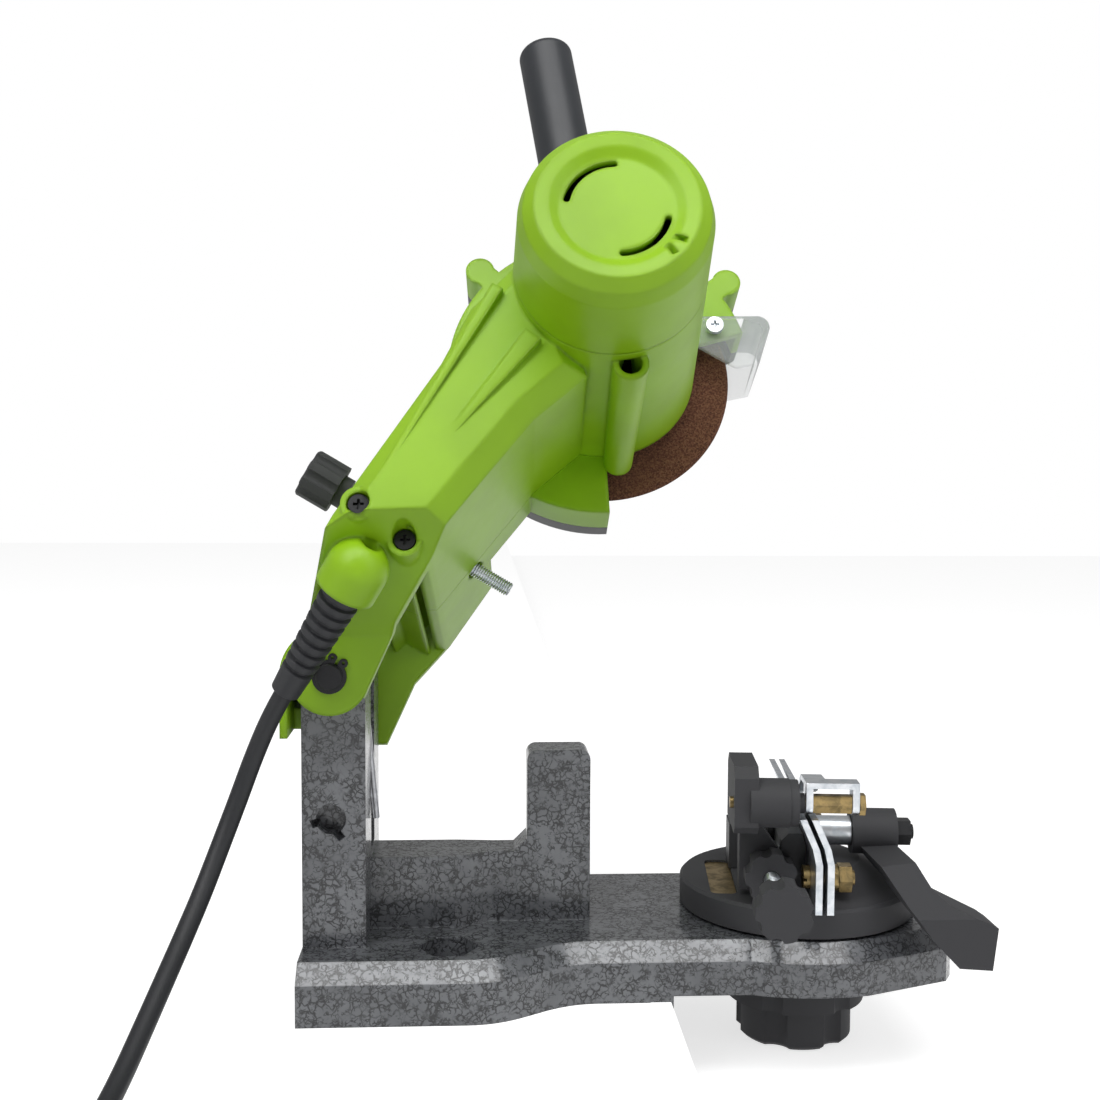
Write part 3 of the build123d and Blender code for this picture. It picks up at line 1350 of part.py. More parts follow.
cord_points = [CORD_START] + [Vector(*point) for point in CORD_ROUTE]
coil_start = coil_point(0.0)
cord_points.append(coil_start)
cord_radii = corner_radii(cord_points)
print("cord radii", [round(radius) for radius in cord_radii])
with BuildPart() as mains_cord:
    with BuildLine() as cord_line:
        FilletPolyline(*cord_points, radius=cord_radii)
    with BuildSketch(Plane(origin=cord_line.wire() @ 0, z_dir=cord_line.wire() % 0)):
        Circle(CORD_RADIUS)
    sweep()
keep(mains_cord, "mains_cord")
cord_length = cord_line.wire().length
print("cord", round(cord_length), "mm, volume ratio", mains_cord.part.volume / cord_length / math.pi / CORD_RADIUS**2)

with BuildPart() as cord_coil:
    with BuildLine() as coil_line:
        end_dir = (cord_line.wire() % 1).normalized()
        Line(coil_start, coil_start + end_dir * 2 * CORD_RADIUS)
        place = coil_start + end_dir * 2 * CORD_RADIUS
        heading = end_dir
        turn = 0.06
        biarc(place, heading, coil_point(turn + 0.125), coil_dir(turn + 0.125))
        turn += 0.125
        while turn + 0.25 < COIL_END:
            biarc(coil_point(turn), coil_dir(turn), coil_point(turn + 0.25), coil_dir(turn + 0.25))
            turn += 0.25
        # the end turns back over the coil, so that the plug lies on it
        place, heading = coil_point(turn), coil_dir(turn)
        tail_dir = Vector(0, -1, 0)
        swing = Vector(heading.X, heading.Y, 0).get_angle(tail_dir)
        middle = Vector(place.X, place.Y, 0) + Vector(heading.Y, -heading.X, 0).normalized() * PLUG_BEND
        spoke = (Vector(place.X, place.Y, 0) - middle).rotate(Axis.Z, 0)
        rise = PLUG_LEVEL - place.Z
        for part in (1, 2, 3):
            arm = spoke.rotate(Axis.Z, -swing * part / 3)
            bend_point = middle + arm + Vector(0, 0, place.Z + rise * (3 * (part / 3) ** 2 - 2 * (part / 3) ** 3))
            slope = 6 * (part / 3) * (1 - part / 3) * rise / (PLUG_BEND * math.radians(swing))
            bend_dir = Vector(arm.Y, -arm.X, 0).normalized() + Vector(0, 0, slope)
            if part == 1:
                biarc(place, heading, bend_point, bend_dir.normalized())
            else:
                biarc(last_point, last_dir, bend_point, bend_dir.normalized())
            last_point, last_dir = bend_point, bend_dir.normalized()
        tail_end = last_point
        Line(tail_end, tail_end + tail_dir * 2 * CORD_RADIUS)
    with BuildSketch(Plane(origin=coil_start, z_dir=end_dir)):
        Circle(CORD_RADIUS)
    sweep()
keep(cord_coil, "cord_coil")
coil_length = coil_line.wire().length
print("coil", round(coil_length), "mm, volume ratio", cord_coil.part.volume / coil_length / math.pi / CORD_RADIUS**2)
print("coil: least gap to itself", round(least_gap(coil_line.wire(), 2 * CORD_RADIUS), 2), "mm")

# flat two-pin plug
PLUG = Plane(origin=tail_end + tail_dir * 2 * CORD_RADIUS, x_dir=(tail_dir.Y, -tail_dir.X, 0), z_dir=tail_dir)
with BuildPart() as mains_plug:
    with BuildSketch(PLUG):
        RectangleRounded(15, 12.0, 4)
    with BuildSketch(PLUG.offset(14)):
        RectangleRounded(26, PLUG_THICK, 5)
    with BuildSketch(PLUG.offset(22)):
        RectangleRounded(35.3, PLUG_THICK, 6)
    with BuildSketch(PLUG.offset(36)):
        RectangleRounded(35.3, PLUG_THICK, 6)
    loft(ruled=True)
    with BuildSketch(PLUG.offset(28)):
        with GridLocations(PIN_SPACING, 0, 2, 1):
            Circle(2)
    extrude(amount=9, mode=Mode.SUBTRACT)
keep(mains_plug, "mains_plug")
with BuildPart() as plug_pins:
    with BuildSketch(PLUG.offset(28)):
        with GridLocations(PIN_SPACING, 0, 2, 1):
            Circle(2)
    extrude(amount=27)
    tips = plug_pins.faces().sort_by(Axis(PLUG.origin, PLUG.z_dir))[-2:]
    fillet(tips.edges(), radius=1.2)
keep(plug_pins, "plug_pins")

# ----------------------------------------------------------------- turntable and its lock
with BuildPart() as turntable:
    with BuildSketch(Plane.XY.offset(TABLE_FOOT)):
        Circle(TABLE_RADIUS)
    extrude(amount=TABLE_THICK)
    chamfer(turntable.faces().sort_by(Axis.Z)[-1].edges(), length=TABLE_CHAMFER)
    # apron that rises towards the clamp, cut off square beside the moving rail
    with BuildPart(mode=Mode.PRIVATE) as apron:
        with BuildSketch(Plane.XZ):
            with BuildLine():
                Polyline(
                    (0, TABLE_TOP - 2),
                    (APRON_FOOT, TABLE_TOP - 2),
                    (APRON_FOOT, TABLE_TOP),
                    (APRON_CREST, APRON_TOP),
                    (0, APRON_TOP),
                    close=True,
                )
            make_face()
        revolve(axis=Axis.Z)
        with BuildSketch(VISE_TOP):
            with Locations((APRON_FROM - 100, 0)):
                Rectangle(200, 200)
        extrude(amount=20, mode=Mode.SUBTRACT)
    add(apron.part)
    # pocket of the index plate
    with BuildSketch(VISE_TOP):
        with Locations(PLATE_PLACE):
            RectangleRounded(10.5, 46, 3)
    extrude(amount=-PLATE_DEEP, mode=Mode.SUBTRACT)
    # bore and hexagonal pocket of the pivot bolt
    with BuildSketch(Plane.XY.offset(TABLE_FOOT - 1)):
        Circle(PIVOT_RADIUS + RUN_GAP)
    extrude(amount=TABLE_THICK + 2, mode=Mode.SUBTRACT)
    with BuildSketch(VISE_TOP):
        RegularPolygon(PIVOT_HEAD / 2 + 0.1, 6, major_radius=False)
    extrude(amount=-PIVOT_HEAD_DEEP, mode=Mode.SUBTRACT)
keep(turntable, "turntable")

with BuildPart() as index_plate:
    with BuildSketch(VISE_TOP.offset(-PLATE_DEEP)):
        with Locations(PLATE_PLACE):
            RectangleRounded(10.3, 45.8, 2.9)
    extrude(amount=1.6)
keep(index_plate, "index_plate")

with BuildPart() as pivot_bolt:
    with BuildSketch(VISE_TOP.offset(-PIVOT_HEAD_DEEP)):
        RegularPolygon(PIVOT_HEAD / 2, 6, major_radius=False)
    extrude(amount=PIVOT_HEAD_DEEP - 0.3)
    with BuildSketch(VISE_TOP.offset(-PIVOT_HEAD_DEEP)):
        Circle(PIVOT_RADIUS)
    extrude(amount=-(TABLE_TOP - PIVOT_HEAD_DEEP + 22))
keep(pivot_bolt, "pivot_bolt")

with BuildPart() as pivot_washer:
    with BuildSketch(Plane.XY.offset(SEAT_GAP)):
        Circle(LOCK_HUB - 1)
        Circle(PIVOT_RADIUS + RUN_GAP, mode=Mode.SUBTRACT)
    extrude(amount=UNDERCUT - 2 * SEAT_GAP)
keep(pivot_washer, "pivot_washer")

with BuildPart() as lock_knob:
    with BuildSketch(Plane.XY.offset(LOCK_BOTTOM)):
        Circle(LOCK_GRIP)
        with PolarLocations(LOCK_GRIP + 4, LOCK_LOBES):
            Circle(6.5, mode=Mode.SUBTRACT)
    extrude(amount=-14.5 - LOCK_BOTTOM)
    chamfer(lock_knob.faces().sort_by(Axis.Z)[0].edges(), length=1.5)
    with BuildSketch(Plane.XY.offset(-15)):
        Circle(LOCK_RADIUS)
        with PolarLocations(LOCK_RADIUS + 4.5, LOCK_LOBES):
            Circle(6.5, mode=Mode.SUBTRACT)
    extrude(amount=7.5)
    with BuildSketch(Plane.XY.offset(-8)):
        Circle(LOCK_HUB)
    extrude(amount=8)
    with BuildSketch(Plane.XY.offset(-22.2)):
        Circle(PIVOT_RADIUS + RUN_GAP)
    extrude(amount=23, mode=Mode.SUBTRACT)
keep(lock_knob, "lock_knob")


# ----------------------------------------------------------------- vise rails and their bolts
def rail(name, left):
    """One rail plate, bent towards the wheel at its top, given the left face of its foot."""
    right = left + RAIL_THICK
    lean_slope = RAIL_LEAN / (RAIL_TOP - RAIL_BEND_Z)
    with BuildPart() as plate:
        with BuildSketch(vise_side(RAIL_NEAR)):
            with BuildLine():
                Polyline(
                    (left, RAIL_FOOT),
                    (left, RAIL_BEND_Z - 3),
                    (left - 3 * lean_slope, RAIL_BEND_Z + 3),
                    (left - RAIL_LEAN, RAIL_TOP),
                    (right - RAIL_LEAN, RAIL_TOP),
                    (right - 3 * lean_slope, RAIL_BEND_Z + 3),
                    (right, RAIL_BEND_Z - 3),
                    (right, RAIL_FOOT),
                    close=True,
                )
            make_face()
        extrude(amount=-(RAIL_FAR - RAIL_NEAR))
        with BuildSketch(vise_across(left - 1)):
            with Locations((-GUIDE_Y, GUIDE_Z), (GUIDE_Y, GUIDE_Z), (CLAMP_Y, CLAMP_Z)):
                Circle(CLAMP_RADIUS + 0.2)
        extrude(amount=RAIL_THICK + 2, mode=Mode.SUBTRACT)
    keep(plate, name)


rail("fixed_rail", RAIL_LEFT)
rail("moving_rail", RAIL_LEFT + RAIL_PITCH)
RAIL_FACE = RAIL_LEFT + RAIL_PITCH + RAIL_THICK
WASHER_FROM = RAIL_FACE + CLAMP_TRAVEL + SEAT_GAP
WASHER_THICK = 2.8


def guide_places():
    """The two guide bolts, seen from the lever's side."""
    return [(-GUIDE_Y, GUIDE_Z), (GUIDE_Y, GUIDE_Z)]


with BuildPart() as rail_guide_bolts:
    with BuildSketch(vise_across(RAIL_LEFT - 0.1)):
        with Locations(*guide_places()):
            Circle(4.5)
    extrude(amount=-2.6)
    with BuildSketch(vise_across(RAIL_LEFT - 0.1)):
        with Locations(*guide_places()):
            Circle(GUIDE_RADIUS)
    extrude(amount=17.2)
    with BuildSketch(vise_across(RAIL_LEFT - 2.7)):
        with Locations(*guide_places()):
            Rectangle(9, 1.2)
    extrude(amount=1.2, mode=Mode.SUBTRACT)
keep(rail_guide_bolts, "rail_guide_bolts")

with BuildPart() as rail_washers:
    with BuildSketch(vise_across(WASHER_FROM)):
        with Locations(*guide_places()):
            Circle(5)
            Circle(GUIDE_RADIUS + RUN_GAP, mode=Mode.SUBTRACT)
    extrude(amount=WASHER_THICK)
keep(rail_washers, "rail_washers")

NUT_FROM = WASHER_FROM + WASHER_THICK + 0.1
with BuildPart() as rail_nuts:
    with BuildSketch(vise_across(NUT_FROM)):
        with Locations(*guide_places()):
            RegularPolygon(5, 6, major_radius=False)
            Circle(GUIDE_RADIUS + RUN_GAP, mode=Mode.SUBTRACT)
    extrude(amount=5)
keep(rail_nuts, "rail_nuts")

# ----------------------------------------------------------------- vise body and clamp
BLOCK_LEFT = -9.5
BLOCK_RIGHT = RAIL_LEFT - 0.1
ANVIL = (-27.0, 6.0)
ANVIL_FAR = 22.0
with BuildPart() as vise_body:
    with BuildSketch(vise_side(-29)):
        with BuildLine():
            Polyline(
                (BLOCK_LEFT, TABLE_TOP),
                (BLOCK_LEFT, 56),
                (BLOCK_LEFT + 3, 59),
                (BLOCK_RIGHT - 1.4, 59),
                (BLOCK_RIGHT, RAIL_BEND_Z - 3.2),
                (BLOCK_RIGHT, TABLE_TOP),
                close=True,
            )
        make_face()
    extrude(amount=-61)
    with BuildSketch(VISE_TOP):
        with Locations(((ANVIL[0] + BLOCK_LEFT) / 2, (ANVIL[1] + ANVIL_FAR) / 2)):
            Rectangle(BLOCK_LEFT - ANVIL[0], ANVIL_FAR - ANVIL[1])
    extrude(amount=53 - TABLE_TOP)
    # bore of the adjuster screw and of the clamp bolt
    with BuildSketch(vise_side(ANVIL[1] - 1)):
        with Locations((ADJUST_X, ADJUST_Z)):
            Circle(ADJUST_RADIUS + RUN_GAP)
    extrude(amount=-(ANVIL_FAR - ANVIL[1]), mode=Mode.SUBTRACT)
    with BuildSketch(vise_across(BLOCK_LEFT - 1)):
        with Locations((CLAMP_Y, CLAMP_Z)):
            Circle(CLAMP_RADIUS + RUN_GAP)
    extrude(amount=20, mode=Mode.SUBTRACT)
keep(vise_body, "vise_body")

SLEEVE_END = 21.7
HUB_FROM = 22.0
HUB_TO = 40.0
with BuildPart() as clamp_bolt:
    with BuildSketch(vise_across(BLOCK_LEFT - 0.1)):
        with Locations((CLAMP_Y, CLAMP_Z)):
            Circle(5.5)
    extrude(amount=-2.9)
    with BuildSketch(vise_across(BLOCK_LEFT - 0.1)):
        with Locations((CLAMP_Y, CLAMP_Z)):
            Circle(CLAMP_RADIUS)
    extrude(amount=57)
keep(clamp_bolt, "clamp_bolt")

with BuildPart() as clamp_sleeve:
    with BuildSketch(vise_across(WASHER_FROM)):
        with Locations((CLAMP_Y, CLAMP_Z)):
            Circle(6)
            Circle(CLAMP_RADIUS + RUN_GAP, mode=Mode.SUBTRACT)
    extrude(amount=SLEEVE_END - WASHER_FROM)
keep(clamp_sleeve, "clamp_sleeve")

HUB_RADIUS = 9.3
with BuildPart() as clamp_lever:
    # arm: its outline from the near side met with its outline from the lever's side
    with BuildSketch(side_plane(-62)):
        with BuildLine():
            Polyline(
                (24, 49),
                (38, 50),
                (41, 43),
                (46, 38.5),
                (60, 33),
                (62.6, 31.4),
                (60.7, 15.3),
                (48, 16.3),
                (38, 27),
                (30, 38),
                close=True,
            )
        make_face()
    extrude(amount=-60)
    with BuildSketch(across_plane(10)):
        with BuildLine():
            Polyline(
                (-2, 64),
                (-10, 63),
                (-30, 56),
                (-62, 35),
                (-62, 13),
                (-54, 14),
                (-46, 32),
                (-28, 42),
                (-10, 44),
                (-2, 46),
                close=True,
            )
        make_face()
    extrude(amount=60, mode=Mode.INTERSECT)
    with BuildSketch(vise_across(HUB_FROM)):
        with Locations((CLAMP_Y, CLAMP_Z)):
            Circle(HUB_RADIUS)
    extrude(amount=HUB_TO - HUB_FROM)
    with BuildSketch(vise_across(HUB_FROM - 5)):
        with Locations((CLAMP_Y, CLAMP_Z)):
            Circle(CLAMP_RADIUS + RUN_GAP)
    extrude(amount=HUB_TO - HUB_FROM + 10, mode=Mode.SUBTRACT)
keep(clamp_lever, "clamp_lever")

with BuildPart() as clamp_nut:
    with BuildSketch(vise_across(HUB_TO + 0.1)):
        with Locations((CLAMP_Y, CLAMP_Z)):
            RegularPolygon(5, 6, major_radius=False)
            Circle(CLAMP_RADIUS + RUN_GAP, mode=Mode.SUBTRACT)
    extrude(amount=6)
keep(clamp_nut, "clamp_nut")

# ----------------------------------------------------------------- chain stop
CARRIER_LEFT = -30.2
CARRIER_FACE = -21.1
BOSS_END = -9.2
LEG_FAR = -22.0
COLLAR_END = -5.95
with BuildPart() as stop_carrier:
    with BuildSketch(vise_across(CARRIER_LEFT)):
        with BuildLine():
            Polyline((-55, 68), (-52, 65), (-22, 65), (-22, 86.5), (-26, 90.5), (-51, 90.5), (-55, 86.5), close=True)
        make_face()
    extrude(amount=CARRIER_FACE - CARRIER_LEFT)
    with BuildSketch(vise_across(CARRIER_LEFT + 6)):
        with Locations((STOP_AXIS_Y, STOP_AXIS_Z)):
            Circle(9.3)
    extrude(amount=BOSS_END - CARRIER_LEFT - 6)
    with BuildSketch(vise_side(LEG_FAR)):
        with BuildLine():
            Polyline(
                (-26, 37),
                (-10, 37),
                (-10, 52),
                (-20, 66),
                (CARRIER_FACE, 86),
                (CARRIER_LEFT, 86),
                (CARRIER_LEFT, 65),
                (-26, 60),
                close=True,
            )
        make_face()
    extrude(amount=8.7)
    with BuildSketch(vise_side(LEG_FAR + 1)):
        with Locations((ADJUST_X, ADJUST_Z)):
            Circle(ADJUST_RADIUS + RUN_GAP)
    extrude(amount=11, mode=Mode.SUBTRACT)
    with BuildSketch(vise_across(CARRIER_LEFT - 1)):
        with Locations((STOP_AXIS_Y, STOP_AXIS_Z)):
            Circle(STOP_BOLT)
    extrude(amount=24, mode=Mode.SUBTRACT)
keep(stop_carrier, "stop_carrier")

with BuildPart() as stop_collar:
    with BuildSketch(vise_across(BOSS_END + 0.1)):
        with Locations((STOP_AXIS_Y, STOP_AXIS_Z)):
            Circle(8.9)
    extrude(amount=COLLAR_END - BOSS_END - 0.1)
    with BuildSketch(vise_across(COLLAR_END)):
        with Locations((STOP_AXIS_Y, STOP_AXIS_Z)):
            Circle(3.8)
    extrude(amount=LEG_LEFT - SEAT_GAP - COLLAR_END)
    with BuildSketch(vise_across(BOSS_END)):
        with Locations((STOP_AXIS_Y, STOP_AXIS_Z)):
            Circle(STOP_BOLT)
    extrude(amount=8, mode=Mode.SUBTRACT)
keep(stop_collar, "stop_collar")

BOLT_END = LEG_RIGHT + STOP_SHEET + 0.2
with BuildPart() as stop_pivot_bolt:
    with BuildSketch(vise_across(CARRIER_LEFT - 1.3)):
        with Locations((STOP_AXIS_Y, STOP_AXIS_Z)):
            Circle(STOP_BOLT)
    extrude(amount=BOLT_END - CARRIER_LEFT + 1.3)
    with BuildSketch(vise_across(BOLT_END)):
        with Locations((STOP_AXIS_Y, STOP_AXIS_Z)):
            RegularPolygon(3.8, 6, major_radius=False)
    extrude(amount=2.2)
keep(stop_pivot_bolt, "stop_pivot_bolt")

SPACER_FROM = LEG_LEFT + STOP_SHEET + 0.1
with BuildPart() as stop_spacer:
    with BuildSketch(vise_across(SPACER_FROM)):
        with Locations((STOP_AXIS_Y, STOP_AXIS_Z)):
            RegularPolygon(3.3, 6, major_radius=False)
            Circle(STOP_BOLT + RUN_GAP, mode=Mode.SUBTRACT)
    extrude(amount=LEG_RIGHT - SPACER_FROM - 0.1)
keep(stop_spacer, "stop_spacer")

with BuildPart() as stop_bracket:
    for face in (LEG_LEFT, LEG_RIGHT):
        with BuildSketch(vise_across(face)):
            with Locations((STOP_AXIS_Y, STOP_AXIS_Z)):
                Circle(4)
            with Locations((STOP_AXIS_Y, (STOP_AXIS_Z + STRIP_TOP) / 2)):
                Rectangle(8, STRIP_TOP - STOP_AXIS_Z)
        extrude(amount=STOP_SHEET)
    # top strip and the finger that meets the chain
    with BuildSketch(vise_across(LEG_LEFT)):
        with Locations((STOP_AXIS_Y, STRIP_TOP - 1.1)):
            Rectangle(8, 2.2)
    extrude(amount=LEG_RIGHT + STOP_SHEET - LEG_LEFT)
    with BuildSketch(vise_across(-3)):
        with BuildLine():
            Polyline(
                (STOP_AXIS_Y + 3, STRIP_TOP - 2.2),
                (STOP_AXIS_Y + 3, STRIP_TOP),
                (-34, STRIP_TOP - 0.6),
                (-24, 77.6),
                (-19, 75.6),
                (-19, 73.4),
                (-25, 75.4),
                (-35, 82.2),
                close=True,
            )
        make_face()
    extrude(amount=8)
    with BuildSketch(vise_across(LEG_LEFT - 1)):
        with Locations((STOP_AXIS_Y, STOP_AXIS_Z)):
            Circle(STOP_BOLT + RUN_GAP)
    extrude(amount=24, mode=Mode.SUBTRACT)
keep(stop_bracket, "stop_bracket")

with BuildPart() as adjuster_screw:
    with BuildSketch(vise_side(ADJUST_NEAR)):
        with Locations((ADJUST_X, ADJUST_Z)):
            Circle(ADJUST_RADIUS)
    extrude(amount=-(20 - ADJUST_NEAR))
keep(adjuster_screw, "adjuster_screw")


def star(near, radius, thick):
    """Star grip on the adjuster screw, from its near face."""
    with BuildPart() as grip:
        with BuildSketch(vise_side(near)):
            with Locations((ADJUST_X, ADJUST_Z)):
                Circle(radius)
                with PolarLocations(radius + 1.6, STAR_LOBES):
                    Circle(3.0, mode=Mode.SUBTRACT)
        extrude(amount=-thick)
    return grip.part


with BuildPart() as adjuster_knob:
    add(star(ADJUST_NEAR - 1, 10.5, 11))
    with BuildSketch(vise_side(ADJUST_NEAR + 10)):
        with Locations((ADJUST_X, ADJUST_Z)):
            Circle(7)
    extrude(amount=-3)
    with BuildSketch(vise_side(ADJUST_NEAR - 0.1)):
        with Locations((ADJUST_X, ADJUST_Z)):
            Circle(ADJUST_RADIUS)
    extrude(amount=-20, mode=Mode.SUBTRACT)
keep(adjuster_knob, "adjuster_knob")

with BuildPart() as stop_lock_knob:
    add(star(-43.0, 10.2, 9.3))
    with BuildSketch(vise_side(-34)):
        with Locations((ADJUST_X, ADJUST_Z)):
            Circle(4.8)
    extrude(amount=-3)
    with BuildSketch(vise_side(-44)):
        with Locations((ADJUST_X, ADJUST_Z)):
            Circle(ADJUST_RADIUS + RUN_GAP)
    extrude(amount=-20, mode=Mode.SUBTRACT)
keep(stop_lock_knob, "stop_lock_knob")

# ----------------------------------------------------------------- lock nut of the depth stop
with BuildPart() as depth_lock_nut:
    with BuildSketch(ROD.offset(NUT_LEVEL)):
        RegularPolygon(NUT_ACROSS / 2, 6, major_radius=False)
        Circle(ROD_RADIUS + RUN_GAP, mode=Mode.SUBTRACT)
    extrude(amount=NUT_THICK)
keep(depth_lock_nut, "depth_lock_nut")
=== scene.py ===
"""Looks of the electric chainsaw sharpener: finishes, threads, cord, lamps, floor and camera.

Everything is in metres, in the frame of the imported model: the origin midway between the bench
bolts, +X towards the operator's end with the vise, +Y away from the camera, +Z up, and the bench
top at z = 0.
"""

from __future__ import annotations

import logging
import math
from dataclasses import dataclass, field
from enum import Enum

import bmesh
import bpy
from mathutils import Matrix, Vector

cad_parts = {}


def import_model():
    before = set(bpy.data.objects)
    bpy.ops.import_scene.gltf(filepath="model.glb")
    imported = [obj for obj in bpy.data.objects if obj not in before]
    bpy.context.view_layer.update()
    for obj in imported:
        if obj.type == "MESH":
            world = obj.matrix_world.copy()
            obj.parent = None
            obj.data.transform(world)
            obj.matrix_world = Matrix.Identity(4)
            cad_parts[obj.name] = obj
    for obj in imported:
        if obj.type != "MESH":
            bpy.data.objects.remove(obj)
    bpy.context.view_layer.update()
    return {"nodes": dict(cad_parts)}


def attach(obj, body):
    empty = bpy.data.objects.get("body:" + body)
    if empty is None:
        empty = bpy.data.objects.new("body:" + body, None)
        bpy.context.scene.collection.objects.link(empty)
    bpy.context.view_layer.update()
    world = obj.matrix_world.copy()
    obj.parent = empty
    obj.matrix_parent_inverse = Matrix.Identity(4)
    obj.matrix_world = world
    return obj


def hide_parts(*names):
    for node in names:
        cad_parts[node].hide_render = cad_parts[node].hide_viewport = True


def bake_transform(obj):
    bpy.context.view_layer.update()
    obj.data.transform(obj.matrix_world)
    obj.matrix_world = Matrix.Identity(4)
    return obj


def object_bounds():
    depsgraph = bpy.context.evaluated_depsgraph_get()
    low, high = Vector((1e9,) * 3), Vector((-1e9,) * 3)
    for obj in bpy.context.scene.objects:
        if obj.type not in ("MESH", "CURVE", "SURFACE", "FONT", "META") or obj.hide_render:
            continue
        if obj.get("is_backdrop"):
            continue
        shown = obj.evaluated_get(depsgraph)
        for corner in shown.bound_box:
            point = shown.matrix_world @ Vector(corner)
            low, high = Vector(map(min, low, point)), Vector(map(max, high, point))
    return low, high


log = logging.getLogger("sharpener")
Triple = tuple[float, float, float]
Pair = tuple[float, float]
Colour = Triple
MM = 0.001
PIVOT: Triple = (143.0, 9.0, 0.0)  # foot of the turntable's axis in mm, where places count from
CREASE = math.radians(38)  # edges sharper than this stay sharp on new pieces


def linear(part: int) -> float:
    """Linear share of one sRGB channel given from 0 to 255."""
    share = part / 255
    return share / 12.92 if share <= 0.04045 else ((share + 0.055) / 1.055) ** 2.4


def srgb(red: int, green: int, blue: int) -> Colour:
    """Linear colour of an sRGB one given from 0 to 255."""
    return (linear(red), linear(green), linear(blue))


def eased(share: float) -> float:
    """Smooth rise from 0 to 1 as a share goes from 0 to 1."""
    return 3 * share**2 - 2 * share**3


# ------------------------------------------------------------------ shader maths
class Wire:
    """An output socket that adds Math nodes when it is used in a Python expression."""

    def __init__(self, board: Board, socket: bpy.types.NodeSocket) -> None:
        """Keep the board and the socket."""
        self.board = board
        self.socket = socket

    def _math(self, operation: str, first: object, second: object) -> Wire:
        """Add one Math node."""
        return self.board.add("ShaderNodeMath", {"operation": operation}, {0: first, 1: second})

    def __add__(self, other: object) -> Wire:
        """Sum."""
        return self._math("ADD", self, other)

    __radd__ = __add__

    def __sub__(self, other: object) -> Wire:
        """Difference."""
        return self._math("SUBTRACT", self, other)

    def __rsub__(self, other: object) -> Wire:
        """Difference with the wire second."""
        return self._math("SUBTRACT", other, self)

    def __mul__(self, other: object) -> Wire:
        """Product."""
        return self._math("MULTIPLY", self, other)

    __rmul__ = __mul__

    def most(self, other: object) -> Wire:
        """The larger of two."""
        return self._math("MAXIMUM", self, other)

    def twin(self, name: str) -> Wire:
        """Another output of the same node."""
        return Wire(self.board, self.socket.node.outputs[name])


class Board:
    """A node tree that takes new nodes and wires."""

    def __init__(self, tree: bpy.types.NodeTree) -> None:
        """Keep the tree."""
        self.tree = tree

    def add(
        self,
        kind: str,
        settings: dict[str, object],
        inputs: dict[object, object],
        output: object = 0,
    ) -> Wire:
        """Add a node, set it and wire it.

        Args:
            kind: the node's type.
            settings: its properties, which are set first.
            inputs: values or wires by socket name or number.
            output: name or number of the socket to return.

        Returns:
            The chosen output as a wire.
        """
        node = self.tree.nodes.new(kind)
        for name, value in settings.items():
            setattr(node, name, value)
        for name, value in inputs.items():
            self.feed(node.inputs[name], value)
        return Wire(self, node.outputs[output])

    def feed(self, socket: bpy.types.NodeSocket, value: object) -> None:
        """Link a wire to a socket, or set the socket's own value.

        Args:
            socket: the input to feed.
            value: a wire, a number, a vector, or a colour without its alpha.
        """
        if isinstance(value, Wire):
            self.tree.links.new(value.socket, socket)
        elif socket.type == "RGBA":
            socket.default_value = (*value, 1.0)
        else:
            socket.default_value = value


